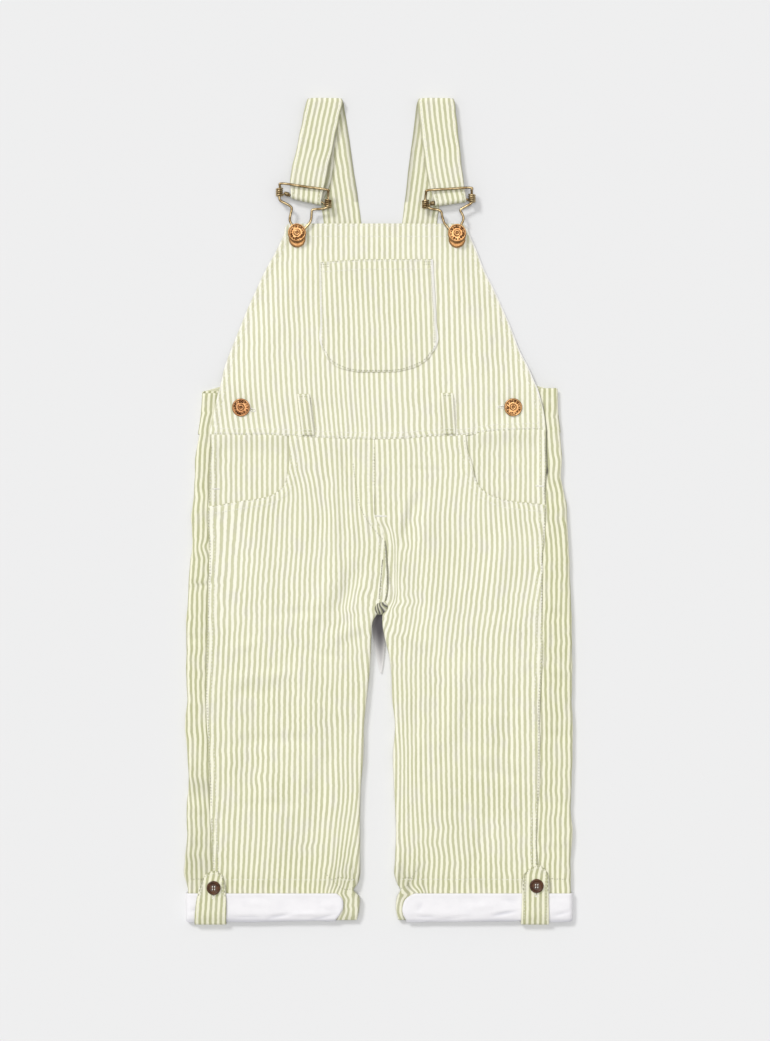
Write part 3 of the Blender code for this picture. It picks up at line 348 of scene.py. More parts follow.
# ---- folds: soft ridges, or troughs where the height is below zero -------------------------------
FOLDS = (
    # from x, y,    to x, y,      half width, height
    (-34, 58, -12, -10, 11, -1.49), (-24, 40, -3, -22, 9, 1.22),
    (33, 14, 25, -34, 10, -1.49), (43, 18, 36, -40, 12, 1.08),
    (-14, -40, -38, -92, 12, -1.62), (-30, -34, -60, -100, 15, 1.76),
    (18, -44, 40, -96, 12, -1.62), (32, -30, 66, -98, 15, 1.62),
    (-12, -96, -46, -112, 9, 1.35), (10, -98, 44, -120, 9, 1.35),
    (-112, -6, -92, -90, 18, 1.49), (-70, -120, -48, -215, 17, 1.89),
    (-100, -150, -118, -260, 16, -1.49), (-46, -190, -58, -290, 15, -1.49),
    (-96, -215, -84, -300, 15, 1.49), (108, -8, 92, -84, 18, 1.49),
    (74, -118, 54, -205, 17, 1.76), (112, -140, 104, -235, 15, -1.49),
    (48, -215, 66, -292, 15, 1.35), (92, -240, 84, -306, 14, -1.22),
)
CREASES = (
    # finer ones on the legs
    (-37, 59, -13, -2, 4, -1.05), (-31, 52, -8, -10, 3.5, 0.68),
    (-41, 50, -38, -60, 6, 0.68), (-31, 16, -29, -70, 5, -0.75),
    (-24, 44, -21, -52, 4, 0.6), (-50, 30, -52, -30, 7, -0.6),
    (31, 14, 17, -36, 4.5, -1.2), (24, 20, 13, -30, 4, 0.6),
    (11, -42, 18, -88, 4, -0.9), (14, 34, 60, 33.5, 3.5, -0.45),
    (-94, -87, -42, -86, 7, -0.9), (-133, -155, -84, -153, 8, -0.9),
    (-136, -143, -58, -139, 8, 0.9), (-142, -199, -40, -194, 10, -1.05),
    (-131, -251, -60, -249, 7, -0.68), (-138, -120, -96, -112, 7, 0.6),
    (-70, -118, -24, -128, 6, -0.68), (-60, -164, -20, -176, 7, 0.6),
    (102, -2, 136, -38, 11, -0.9), (137, -66, 137, -128, 4, -0.9),
    (28, -138, 30, -210, 5, -0.9), (36, -150, 39, -214, 5, 0.6),
    (66, -216, 129, -230, 7, -0.83), (60, -202, 126, -216, 8, 0.6),
    (40, -250, 96, -262, 7, -0.52), (92, -92, 134, -104, 8, 0.68),
    (70, -160, 120, -170, 8, -0.52), (-38, -304, -31, -323, 3.5, -1.05),
    (-30, -300, -25, -323, 3, 0.75), (-22, -302, -21, -323, 3, -0.9),
    (-48, -300, -38, -322, 4, 0.75), (17, -304, 19, -324, 3.5, -1.05),
    (25, -302, 24, -323, 3, 0.75), (33, -304, 29, -323, 3.5, -0.75),
    (-100, -296, -104, -323, 6, 0.6), (76, -292, 80, -323, 6, -0.6),
)
STRIP_CREASES = (
    # across the side strips
    (-168, -60, -144, -65, 3.4, -1.2), (-157, -26, -140, -40, 5, 1),
    (-170, -108, -146, -112, 6, -1.05),
    (-170, -30, -144, -42, 6, 0.75), (-170, 22, -144, 14, 6, -0.75),
    (-170, -222, -144, -226, 7, -0.9), (-170, -250, -143, -256, 7, 0.75),
    (-170, -284, -142, -290, 8, -1.05), (-170, -160, -146, -166, 6, 0.6),
    (138, -86, 168, -92, 7, -0.9), (137, -134, 168, -140, 6, 0.75),
    (136, -188, 168, -194, 7, -0.9), (134, -246, 168, -252, 7, -0.75),
    (134, -284, 168, -280, 6, 0.6), (140, 20, 168, 26, 6, -0.75),
)
LEG_KINKS = (
    # x, y, half width, half height, push, sharpness
    (-141, -62, 8, 5, 0.12, 1), (136, -50, 6, 4.5, -0.3, 0),
    (132, -8, 9, 4, 0.2, 0), (-62, 34, 9, 6, 0.22, 0),
    (-44, 22, 7, 6, -0.2, 0), (30, -8, 6, 5, 0.25, 0),
    (22, -30, 6, 5, -0.28, 0), (17, -84, 8, 3.6, 0.5, 0),
    (29, -77, 9, 4, -0.3, 0), (-27, -78, 8, 6, 0.25, 0),
    (-70, -104, 11, 6, 0.14, 0), (-60, -287, 12, 4, 0.2, 0),
    (54, -270, 14, 5, -0.22, 0), (44, -283, 12, 5, 0.25, 0),
    (104, -196, 13, 6, -0.12, 0), (-104, -228, 14, 6, 0.12, 0),
)
STRIP_KINKS = (
    (-148, -31, 8, 4, 0.5, 0), (-152, -42, 8, 5, -0.25, 0),
    (-154, -63, 9, 5, 0.2, 1), (-155, -112, 8, 6, -0.2, 0),
    (-151, 84, 7, 4, 0.12, 1), (-154, 12, 7, 4, -0.25, 0),
    (-156, -226, 8, 6, 0.25, 0), (-155, -292, 8, 5, 0.2, 0),
    (150, 78, 6, 4, 0.12, 1), (149, 41, 7, 6, -0.25, 0),
    (150, 28, 7, 5, 0.15, 0), (153, -8, 7, 5, 0.25, 0),
    (153, -96, 8, 6, 0.2, 0), (150, -262, 8, 6, 0.2, 0),
)
BACK_FOLDS = (
    # on the hidden underside, raised off the surface
    (-120, 30, -90, -70, 16, 1.2), (-40, 40, -62, -60, 14, 1),
    (60, 44, 84, -50, 15, 1.1), (130, 20, 112, -80, 12, 0.9),
    (-110, -130, -84, -250, 18, 1.3), (-60, -110, -40, -200, 13, 0.9),
    (50, -120, 66, -230, 15, 1.1), (120, -100, 98, -210, 17, 1.2),
    (-130, -240, -60, -268, 11, 0.8), (40, -262, 120, -240, 11, 0.8),
    (-60, 150, 40, 130, 18, 0.7), (-110, 90, -60, 110, 12, 0.6),
    (50, 90, 110, 104, 12, 0.6),
)
BIB_CREASES = (
    (-100, 150, -60, 84, 12, 0.5), (92, 140, 62, 92, 12, 0.5),
    (-62, 100, -20, 72, 9, -0.45), (-90, 96, -30, 92, 8, 0.3),
    (20, 84, 60, 104, 8, -0.35), (86, 78, 124, 82, 8, -0.4),
    (-124, 120, -96, 108, 8, -0.4), (-70, 224, -62, 160, 10, -0.35),
    (60, 226, 66, 150, 11, 0.35), (-20, 236, 24, 222, 9, 0.3),
    (98, 122, 120, 100, 9, 0.4), (-112, 74, -84, 70, 6, -0.3),
)


# ---- curves and noise ----------------------------------------------------------------------------
def lerp(a, b, t):
    return a + (b - a) * t


def ease(t):
    t = np.clip(t, 0, 1)
    return t * t * (3 - 2 * t)


def ramp(value, start, end):
    """0 before the start and 1 past the end, which may lie below it, with a smooth rise between."""
    return ease((value - start) / (end - start))


def bell(distance, width):
    """1 where the distance is nothing, and falling off smoothly on both sides."""
    return np.exp(-(distance / width) ** 2)


def flow(rows, key, column):
    """A table's column as a smooth curve over its first column, level beyond both ends."""
    rows = sorted(rows, key=lambda row: row[0])
    keys = np.array([row[0] for row in rows], float)
    values = np.array([row[column] for row in rows], float)
    slopes = np.gradient(values, keys)
    key = np.clip(key, keys[0], keys[-1])
    i = np.clip(np.searchsorted(keys, key) - 1, 0, len(keys) - 2)
    step = keys[i + 1] - keys[i]
    t = (key - keys[i]) / step
    return ((2 * t ** 3 - 3 * t ** 2 + 1) * values[i] + (t ** 3 - 2 * t ** 2 + t) * step * slopes[i]
            + (3 * t ** 2 - 2 * t ** 3) * values[i + 1] + (t ** 3 - t ** 2) * step * slopes[i + 1])


def flows(rows, key, *columns):
    return [flow(rows, key, column) for column in columns]


def stacked(rows):
    """Grids from rows that each hold one array for every grid."""
    return [np.array(column) for column in zip(*rows)]


def noise(x, y, size, seed):
    """Smooth noise between -1 and 1. size is the cell's (width, height).

    The same seed gives the same pattern again."""
    lattice = np.random.default_rng(seed).uniform(-1, 1, (64, 64))
    u, v = np.broadcast_arrays(np.asarray(x, float) / size[0], np.asarray(y, float) / size[1])
    i, j = np.floor(u).astype(int), np.floor(v).astype(int)
    s, t = ease(u - i), ease(v - j)
    corner = [[lattice[(i + a) % 64, (j + b) % 64] for b in (0, 1)] for a in (0, 1)]
    return lerp(lerp(corner[0][0], corner[1][0], s), lerp(corner[0][1], corner[1][1], s), t)


def spline(points, spans, closed=False):
    """Points on a Catmull-Rom curve through the given ones, as an array."""
    points = np.array(points, float)
    count = len(points)
    curve = []
    for i in range(count if closed else count - 1):
        if closed:
            a, b, c, d = (points[(i + k) % count] for k in (-1, 0, 1, 2))
        else:
            a, b, c, d = (points[min(count - 1, max(0, i + k))] for k in (-1, 0, 1, 2))
        for step in range(spans):
            t = step / spans
            curve.append(0.5 * (2 * b + (c - a) * t + (2 * a - 5 * b + 4 * c - d) * t * t
                                + (3 * b - a - 3 * c + d) * t ** 3))
    if not closed:
        curve.append(points[-1])
    return np.array(curve)


def to_line(x, y, line):
    """Distance of each point from a polyline in XY, and the run along it of the nearest point."""
    best = np.full(np.shape(x), 1e9)
    place = np.zeros(np.shape(x))
    run = 0.0
    for (x0, y0), (x1, y1) in zip(line, line[1:]):
        length = math.hypot(x1 - x0, y1 - y0)
        if length < 1e-6:
            continue
        t = np.clip(((x - x0) * (x1 - x0) + (y - y0) * (y1 - y0)) / length ** 2, 0, 1)
        away = np.hypot(x - lerp(x0, x1, t), y - lerp(y0, y1, t))
        nearer = away < best
        best = np.where(nearer, away, best)
        place = np.where(nearer, run + t * length, place)
        run += length
    return best, place


# ---- heights of the cloth ------------------------------------------------------------------------
def folds(x, y, rows):
    """Sum of soft folds, each fading at its ends and its sides."""
    total = np.zeros(np.broadcast(x, y).shape)
    for x0, y0, x1, y1, half_width, height in rows:
        length = math.hypot(x1 - x0, y1 - y0)
        run = ((x - x0) * (x1 - x0) + (y - y0) * (y1 - y0)) / length
        side = np.abs((x - x0) * (y1 - y0) - (y - y0) * (x1 - x0)) / length
        inside = (side < half_width) & (run > 0) & (run < length)
        across = np.cos(np.minimum(side / half_width, 1) * math.pi / 2) ** 2
        along = np.sin(math.pi * np.clip(run / length, 0, 1))
        total += np.where(inside, height * across * along, 0)
    return total


def wandering(x, y, seed, reach=1.6):
    """The point moved a little, so that straight folds become uneven."""
    return (x + reach * noise(x, y, (26, 34), seed), y + reach * noise(x, y, (26, 34), seed + 1))


def waist_y(x):
    """The waist seam on the front."""
    return flow(WAIST_SEAM, x, 1)


def stitched_edge(away, run, rows, seed, hem=0.3):
    """Relief beside a sewn edge: a thicker hem, dips at its stitch rows, and small puckers."""
    band = max(rows) + 0.7
    thick = hem * (1 - ease((away - band) / 1.4))
    dips = sum(0.2 * bell(away - row, 0.8) for row in rows)
    pucker = 0.2 * noise(run, away, (2.6, 5), seed) + 0.14 * noise(run, away, (6.5, 9), seed + 1)
    return thick - dips + pucker * np.exp(-np.maximum(away - band, 0) / 4)


def rolled(away, drop, width):
    """How far cloth falls where it turns over at an edge."""
    return -drop * (1 - ease(away / width))


def waist_relief(x, y):
    """Seam allowance ridge above the waist seam, a groove on it, and its puckers."""
    up = y - waist_y(x)
    marks_patina_and_shade = -0.08 * bell(up, 0.9)
    ridge = 0.25 * bell(up - 3.4, 3.0)
    pucker = 0.24 * noise(x, up, (3.0, 6), 11) + 0.24 * noise(x, up, (8, 12), 12)
    return marks_patina_and_shade + ridge + pucker * np.exp(-np.abs(up) / 6)


def tucked(y, seam):
    """Drop of a panel where it runs on under another, past their seam."""
    return TUCK_DROP * ease((y - seam - 0.05) / 0.6)


def rumple(x, y, seed):
    """Fine uneven crinkles of washed cotton, stronger in some places than in others."""
    place = 0.6 + 0.4 * noise(x, y, (46, 38), seed)
    fine = 0.2 * noise(x, y, (7, 10), seed + 1) + 0.13 * noise(x, y, (4, 5), seed + 2)
    return place * (fine + 0.2 * noise(x, y, (13, 9), seed + 3))


def wiggle(x, y, seed, strong=0.0):
    """How far the stripes stray where the cloth puckers, as a share of their pitch."""
    place = 0.3 + 0.7 * ease(0.5 + 0.9 * noise(x, y, (52, 44), seed + 3)) + strong
    return place * (0.08 * noise(x, y, (15, 12), seed) + 0.075 * noise(x, y, (7, 6), seed + 1)
                    + 0.04 * noise(x, y, (4, 3), seed + 2))


def joined(x, y, z, share=1.0):
    """Heights drawn to one level along the waist seam, where the panels meet."""
    near = share * bell(y - waist_y(x), 2.5)
    return lerp(z, HEIGHT + waist_relief(x, y), near)


def bib_height(x, y):
    """Outer face of the front bib."""
    left, right, edge, middle = flows(BIB_SECTIONS, y, 1, 2, 3, 4)
    inside = np.minimum(x - left, right - x)
    base = edge + (middle - edge) * ease(inside / BIB_EDGE_FALL)
    wx, wy = wandering(x, y, 21)
    relief = folds(wx, wy, BIB_CREASES) + 0.7 * rumple(x, y, 201)
    relief += stitched_edge(np.maximum(inside, 0), y, (1.6, 5.2), 24, 0.2)
    relief += stitched_edge(np.maximum(BIB_TOP - y, 0), x, (1.8, 11.0), 26, 0.15)
    return joined(x, y, base + relief * ramp(inside, -2, 1) + waist_relief(x, y))


def centre_seam(y):
    """x of the left leg's inner edge, which is the centre seam above the crotch."""
    return flow(LEG_SECTIONS["left"], y, 3)


def side_seam(side, y):
    """x of a front leg's outer edge, where it meets the back leg."""
    return flow(LEG_SECTIONS[side], y, 2) - SIGN[side] * SEAM_HALF


def crown(x):
    """1 along the middle of a leg, and nothing at the garment's middle and sides."""
    return np.maximum(0.0, 1 - ((np.abs(x) - LEG_MIDDLE) / LEG_MIDDLE) ** 2)


def leg_height(x, y):
    """Outer face of the front legs, but for the pockets' scoops."""
    ends = ramp(y, 40, -20) * ramp(y, -306, -246)
    wx, wy = wandering(x, y, 31)
    relief = folds(wx, wy, FOLDS) + folds(wx, wy, CREASES)
    relief += 0.16 * noise(x, y, (11, 24), 33) * ends + rumple(x, y, 211)
    side = np.where(x < 0, x - flow(LEG_SECTIONS["left"], y, 2),
                    flow(LEG_SECTIONS["right"], y, 2) - x)
    below = ramp(y, 8, 2)
    relief += stitched_edge(np.maximum(side, 0), y, (1.4, 5.0), 35, 0.35) * below
    seam = np.abs(x - centre_seam(y))
    upper = ramp(y, -84, -74)
    relief += stitched_edge(seam, y, (1.4, 5.6), 37, 0.25) * upper
    hem = -0.35 * bell(y - HEM_Y, 1.1)
    hem += 0.24 * noise(x, y, (3.2, 9), 39) * bell(y - HEM_Y, 8)
    level = HEIGHT + LEG_CROWN * crown(x) * ends + relief + hem + waist_relief(x, y)
    return joined(x, y, level) - foot_drop(y)


def scoop_relief(side, x, y):
    away, run = to_line(x, y, SCOOP_LINE[side])
    return rolled(away, 0.5, 1.1) + stitched_edge(away, run, (1.5, 6.4), 41, 0.35)


def front_leg_height(side, x, y):
    return leg_height(x, y) + scoop_relief(side, x, y)


def foot_drop(y):
    """How far the front curves down towards the lower edge of the turn-up."""
    return FOOT_DROP * np.clip((CUFF_FOLD + FOOT_ROLL - y) / FOOT_ROLL, 0, 1) ** 2


def rest_height(y):
    """How far a leg's underside is lifted where its turn-up passes beneath."""
    return CUFF_STEP * ramp(y, -311, -323)


def wrap_drop(y):
    """How much lower than the front the back leg's side strip lies, up at the waist."""
    return (HEIGHT - WRAP_HEIGHT) * ease(y / 13)


def wrap_relief(x, y):
    """Relief of the back panels where they wrap round to the front."""
    wx, wy = wandering(x, y, 51)
    return folds(wx, wy, STRIP_CREASES) + 1.3 * rumple(x, y, 241) + 0.3 * noise(x, y, (9, 17), 53)


def beside_front(outside):
    """Dip of the side strips along the front panel's edge; outside is the distance from it."""
    return rolled(outside + 0.2, 0.75, 1.2) + rolled(outside - 1.0, 0.25, 5)


# ---- meshes --------------------------------------------------------------------------------------
MATERIALS = {}


def mesh_object(name, points, faces, material, attributes=None):
    """A mesh from points in millimetres, with a list of values, one a point, for each attribute."""
    mesh = bpy.data.meshes.new(name)
    mesh.from_pydata((np.asarray(points) * MM).tolist(), [], faces)
    mesh.materials.append(MATERIALS[material])
    for key, values in (attributes or {}).items():
        layer = mesh.attributes.new(key, "FLOAT", "POINT")
        layer.data.foreach_set("value", np.asarray(values, np.float32))
    mesh.shade_smooth()
    obj = bpy.data.objects.new(name, mesh)
    bpy.context.scene.collection.objects.link(obj)
    return obj


def piece(obj, slot, *nodes):
    """Fix a piece to the one body, and hide the solids it stands for. Its slot is not used."""
    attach(obj, "root")
    if nodes:
        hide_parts(*nodes)
    return obj


def grid_faces(rows, cols, keep=None):
    """Quads of a grid, but for those that need a point which keep leaves out."""
    i, j = np.meshgrid(np.arange(rows - 1), np.arange(cols - 1), indexing="ij")
    a = (i * cols + j).ravel()
    quads = np.stack([a, a + cols, a + cols + 1, a + 1], axis=1)
    if keep is not None:
        quads = quads[keep.ravel()[quads].all(axis=1)]
    return quads


def cloth(name, points, stripe, run, nodes, material="stripe_cotton", wall=CLOTH, pale=0.0,
          deep=0.5, shade=0.0, keep=None, clamp=2.0):
    """A cloth panel: an open grid of outer points, made thick on its inner side.

    pale is how far its stripes fade out, deep how dark its green is, and shade how far painted
    shade darkens its colour, in creases, in gaps and beside edges. keep says which points of the
    grid it has, where it doesn't have all of them. clamp limits the thickness where the grid is
    fine."""
    rows, cols, _ = points.shape
    used, corners = np.unique(grid_faces(rows, cols, keep), return_inverse=True)
    looks = {"stripe": stripe, "run": run, "pale": pale, "deep": deep, "shade": shade}
    values = {key: np.broadcast_to(value, (rows, cols)).ravel()[used]
              for key, value in looks.items()}
    obj = mesh_object(name, points.reshape(-1, 3)[used], corners.reshape(-1, 4).tolist(),
                      material, values)
    solid = obj.modifiers.new("thick", "SOLIDIFY")
    solid.thickness = wall * MM
    solid.offset = -1
    solid.use_even_offset = True
    solid.thickness_clamp = clamp
    return piece(obj, material, *nodes)


def edged_rows(left, right, near, columns):
    """x of each row's points: at the distances in near from both edges, and even between."""
    rows = []
    for low, high in zip(left, right):
        middle = np.linspace(low + near[-1], high - near[-1], columns)
        rows.append(np.concatenate([low + near[:-1], middle, (high - near[:-1])[::-1]]))
    return np.array(rows)


def run_across(x, z):
    """Distance run along each row of a grid, from its first point on."""
    steps = (np.diff(axis, axis=1, prepend=axis[:, :1]) for axis in (x, z))
    return np.cumsum(np.hypot(*steps), axis=1)


def facing_out(flip, *grids):
    """The grids, with their columns in reverse where the outer side would face inwards."""
    return [grid[:, ::-1] for grid in grids] if flip else grids


def guided(rows, x, y, pitch):
    """Stripe number at a place, between the guide stripes of a table and beyond them."""
    numbers = rows[0][1:]
    guides = [flow(rows[1:], y, k + 1) for k in range(len(numbers))]
    number = numbers[0] + (x - guides[0]) / pitch
    for k in range(len(numbers) - 1):
        share = (x - guides[k]) / (guides[k + 1] - guides[k])
        between = numbers[k] + share * (numbers[k + 1] - numbers[k])
        number = np.where(x >= guides[k], between, number)
    beyond = numbers[-1] + (x - guides[-1]) / pitch
    return np.where(x >= guides[-1], beyond, number)


# ---- legs ----------------------------------------------------------------------------------------
def scoop_line(side):
    """The scoop's edge from the waist seam to the side seam."""
    line = spline(SCOOP[side], 14)
    x, y = line.T
    return line[(y < waist_y(x) - SEAM_HALF) & (np.abs(x) < np.abs(side_seam(side, y)))]


SCOOP_LINE = {side: scoop_line(side) for side in SIGN}


def inner_bend(radius, turned_under, steps, tuck=0.0):
    """(across, down) from the flat panel to its inner edge, bent by turned_under."""
    angle = max(0.001, turned_under * math.pi / 2)
    bend = (radius - EDGE_STRAIGHT) * math.pi / 2 / angle
    points = [(bend * math.sin(angle * k / steps), bend * (1 - math.cos(angle * k / steps)))
              for k in range(steps + 1)]
    across, down = points[-1]
    for run in (EDGE_STRAIGHT - SEAM_HALF - 0.4, EDGE_STRAIGHT - SEAM_HALF):
        points.append((across + run * math.cos(angle), down + run * math.sin(angle)))
    across, down = points[-1]
    for share in (0.25, 0.6, 1.0) if tuck > 0 else ():
        run = tuck * share
        points.append((across + run * math.cos(angle), down + run * math.sin(angle)))
    return np.array(points)


def inner_edge(sign, inner, turned_under, low, tuck=0.0):
    """The inner edge's bend, and the x where the flat panel ends and the bend starts."""
    bend = inner_bend((HEIGHT - low) / 2, turned_under, 6, tuck)
    edge = inner + sign * SEAM_HALF * (1 - min(1.0, max(0.0, turned_under)))
    own = bend[-4 if tuck > 0 else -1][0]
    return bend[1:], edge + sign * own


def kinked(x, y, rows):
    """How far local kinks push the stripes aside, as a share of their pitch.

    A row is x, y, half width, half height, push, and sharpness: 0 bends the stripes one way and
    back, and 1 breaks them along a crease."""
    total = np.zeros(np.broadcast(x, y).shape)
    for x0, y0, wide, high, push, sharp in rows:
        near = np.exp(-((x - x0) / wide) ** 2 - ((y - y0) / high) ** 2)
        total = total + push * near * lerp(1.0, np.tanh((y - y0) * 1.6), sharp)
    return total


def leg_stripe(side, x, y):
    """Stripe number on a front leg: strayed, kinked, and drawn in at crotch and hem."""
    crotch = bell(np.hypot((x - 2) / 34, (y + 88) / 30), 1)
    hem = bell(np.abs(x) - 26, 18) * ramp(y, -292, -312)
    strong = 2.6 * crotch + (1.6 if side == "left" else 0.6) * hem
    number = guided(LEG_STRIPES[side], x, y, LEG_PITCH) + wiggle(x, y, 221, strong)
    number = number + kinked(x, y, LEG_KINKS)
    if side == "right":
        seam = centre_seam(y)
        drawn = np.maximum(0, seam - centre_seam(-8.0)) * (1 - ease((x - seam) / 11))
        number = number - drawn / LEG_PITCH
    end = flow(CUFF_INNER[side], y, 1)
    reach = (1 - ease(np.abs(x - end) / 16)) * ease((CUFF_TOP + 9 - y) / 12)
    return number + 0.8 * reach * (CUFF_INNER[side][2][1] - end) / LEG_PITCH


def leg_depth(x, y):
    """How dark the green is: paler on the thighs, darker down the legs and at the hem."""
    hem = 0.2 * ramp(y, -270, -310) + 0.25 * bell(y + 320, 7)
    return 0.3 + 0.28 * ramp(y, -60, -260) + hem + 0.12 * noise(x, y, (50, 40), 225)


def leg_shade(x, y):
    """Painted shade in the gathers at the hem's inner end, and a faint band of it along the hem."""
    reach = ramp(np.abs(x), 46, 20) * ramp(y, -284, -318)
    gather = 0.5 + 0.5 * noise(x, y, (3.4, 16), 227)
    edge = ease((4 - np.abs(y + 316)) / 6) * (0.5 + 0.5 * noise(x, y, (5, 3), 228))
    return 0.32 * reach * gather ** 2 + 0.06 * reach + 0.1 * edge


def front_leg(side):
    """A front leg, in close rows round the scoop and even ones down to the hem."""
    sign = SIGN[side]
    line = SCOOP_LINE[side]
    first = line[0, 1]
    ys, outer = [first + TUCK, first + 0.8, first + 0.25], [line[0, 0]] * 3
    for x, y in line:
        if ys[-1] - y > SCOOP_GRID:
            ys.append(y)
            outer.append(x)
    foot = ys[-1]
    lower = np.arange(foot - 1.2, LEG_END, -LEG_GRID)
    ys = np.array(ys + list(lower) + [LEG_END])
    seam = side_seam(side, ys) + 0.4 * noise(ys, 0 * ys, (13, 9), 226) * ease((foot - 6 - ys) / 20)
    outer = np.concatenate([outer, seam[len(outer):]])
    inner, turned = flows(LEG_SECTIONS[side], ys, 3, 4)
    edge_steps = np.array(LEG_EDGE)
    columns = 88
    rows = []
    for y, x_out, x_in, under in zip(ys, outer, inner, turned):
        flat = ease(1 - 6 * under) if side == "right" else 0.0
        bend, start = inner_edge(sign, x_in, under, rest_height(y), 0.06 + TUCK * flat)
        near = x_out - sign * edge_steps
        xs = np.concatenate([near[:-1], np.linspace(near[-1], start, columns),
                             start - sign * bend[:, 0]])
        downs = np.concatenate([np.zeros(columns + len(near) - 1), bend[:, 1]])
        downs[-3:] += np.array((0.2, 1, 1)) * TUCK_DROP * flat     # beneath the left leg
        downs[-3:] += np.array((0, 0.1, 0.2)) * (1 - flat)
        rows.append((xs, np.full(len(xs), y), downs, np.full(len(xs), start)))
    x, y, down, start = stacked(rows)
    y = y + ramp(y, 40, 62) * (waist_y(x) - first)
    flat_x = np.where(down > 0, start, x)
    z = front_leg_height(side, flat_x, y) - down - tucked(y, waist_y(x))
    z = z + rolled(np.abs(x - outer[:, None]), 0.55, 1.2) * (y < foot)
    arc = run_across(x, down)
    last_flat = columns + len(edge_steps) - 2
    bent = leg_stripe(side, start, y) - sign * (arc - arc[:, [last_flat]]) / LEG_PITCH
    stripe = np.where(np.arange(x.shape[1]) > last_flat, bent, leg_stripe(side, x, y))
    points, stripe, run, deep, shade = facing_out(
        side == "right", np.stack([x, y, z], axis=2), stripe, y, leg_depth(x, y), leg_shade(x, y))
    obj = cloth(f"leg_front_{side}", points, stripe, run, [f"front_leg_{side}"], deep=deep,
                shade=shade)
    return obj


def strip_stripe(side, x, y):
    """Stripes of the back leg, read off its side strip and carried round the fold."""
    stray = 0.13 * noise(x, y, (24, 15), 231) + 0.12 * noise(x, y, (9, 7), 232)
    stray = stray + kinked(x, y, STRIP_KINKS)
    return (x - flow(STRIP_STRIPES[side], y, 1)) / STRIP_PITCH + stray


def strip_fold_shade(x, y):
    """Painted shade in two folds of the left side strip."""
    lower = 0.14 * bell(y + 233 + 0.2 * (x + 155), 9)
    lower += 0.10 * bell(y + 300 + 0.2 * (x + 155), 16)
    upper = 0.14 * bell(y + 63.5 - 0.15 * (x + 155), 1.6)
    return (lower + upper) * ramp(x, -140, -146)


def gap_shade(outside, y):
    """Painted shadow: the dark line where the right side strip dips beneath the front, deepest at
    its foot.
    """
    line = 0.8 * ramp(y, 29, 33) * ramp(y, 100, 94)
    foot = bell(y - 32.5, 3.2)
    return (line + foot) * bell(np.maximum(outside, 0), lerp(0.75, 1.4, foot))


def back_leg(side):
    """A back leg: the side strip on the front, the outer fold, the floor, the inner edge."""
    sign = SIGN[side]
    ys = np.concatenate([[WAIST_BACK + TUCK, 65.05, 64.44, 63.6],
                         np.arange(62.2, LEG_END, -STRIP_GRID), [LEG_END]])
    steps, floor_columns = 12, 40
    lap = np.array(STRIP_LAP)
    strip_columns = len(lap) + 9
    rows = []
    for y in ys:
        fold, seam, x_in, under = flows(LEG_SECTIONS[side], y, 1, 2, 3, 4)
        low, drop = rest_height(y), wrap_drop(y)
        radius = (HEIGHT - drop - low) / 2
        arc_x = fold - sign * radius
        near = seam - sign * lap
        strip = np.concatenate([near, np.linspace(near[-1], arc_x, 10)[1:]])
        angles = math.pi / 2 - math.pi * np.arange(1, steps + 1) / steps
        bend, start = inner_edge(sign, x_in, under, low)
        floor = np.linspace(arc_x, start, floor_columns)[1:]
        xs = np.concatenate([strip, arc_x + sign * radius * np.cos(angles), floor,
                             start - sign * bend[:, 0]])
        zs = np.concatenate([np.full(strip_columns, HEIGHT - drop),
                             low + radius + radius * np.sin(angles),
                             np.full(floor_columns - 1, low), low + bend[:, 1]])
        rows.append((xs, np.full(len(xs), y), zs, np.full(len(xs), seam)))
    x, y, z, seam = stacked(rows)
    part = np.arange(x.shape[1])
    turn = np.clip((part - strip_columns + 1) / steps, 0, 1)
    waist = lerp(waist_y(x), WAIST_BACK, turn)
    y = y + ramp(y, 40, 64) * (waist - WAIST_BACK)
    relief = wrap_relief(x, y) + beside_front(sign * (x - seam))
    under = folds(*wandering(x, y, 51), BACK_FOLDS) * ease(np.abs(x - seam) / 12)
    under += 0.12 * np.abs(noise(x, y, (13, 22), 54))
    floor_part = (part >= strip_columns + steps - 1) * ease((part - strip_columns - steps + 3) / 5)
    tuck = tucked(y, waist) * lerp(1, -1, turn)
    z = z + relief * (1 - turn) + under * floor_part - tuck
    z = z - foot_drop(y) * np.clip(z / HEIGHT, 0, 1)
    bulge = np.sin(turn * math.pi)
    x = x + sign * (0.55 * noise(y, z, (15, 9), 55) + 0.3 * noise(y, z, (6, 9), 56)) * bulge
    arc = run_across(x, z)
    stripe = strip_stripe(side, x[:, :1] + sign * arc, y)
    right = 1.0 if side == "right" else 0.0
    # painted shade: the left strip darker towards the hem and in two folds, and the shadow line
    # along the front's edge on the right
    shade = 0.05 * ramp(y, -215, -285) * (1 - right) + strip_fold_shade(x, y) * (1 - turn)
    shade = shade + right * gap_shade(sign * (x - seam), y) * (1 - turn)
    # the right strip's green made paler near the waist and lower down the leg
    paler_green = right * (0.25 * ramp(y, 10, 50) + 0.14 * ramp(y, -160, -200))
    # the side strips' dark green (deep 0.97) stands partly for painted shade where they curve down
    # to the fold
    points, stripe, run, deep, shade = facing_out(
        side == "left", np.stack([x, y, z], axis=2), stripe, y, 0.97 - paler_green, np.clip(shade, 0, 1))
    obj = cloth(f"leg_back_{side}", points, stripe, run, [f"back_leg_{side}"], deep=deep,
                shade=shade)
    return obj


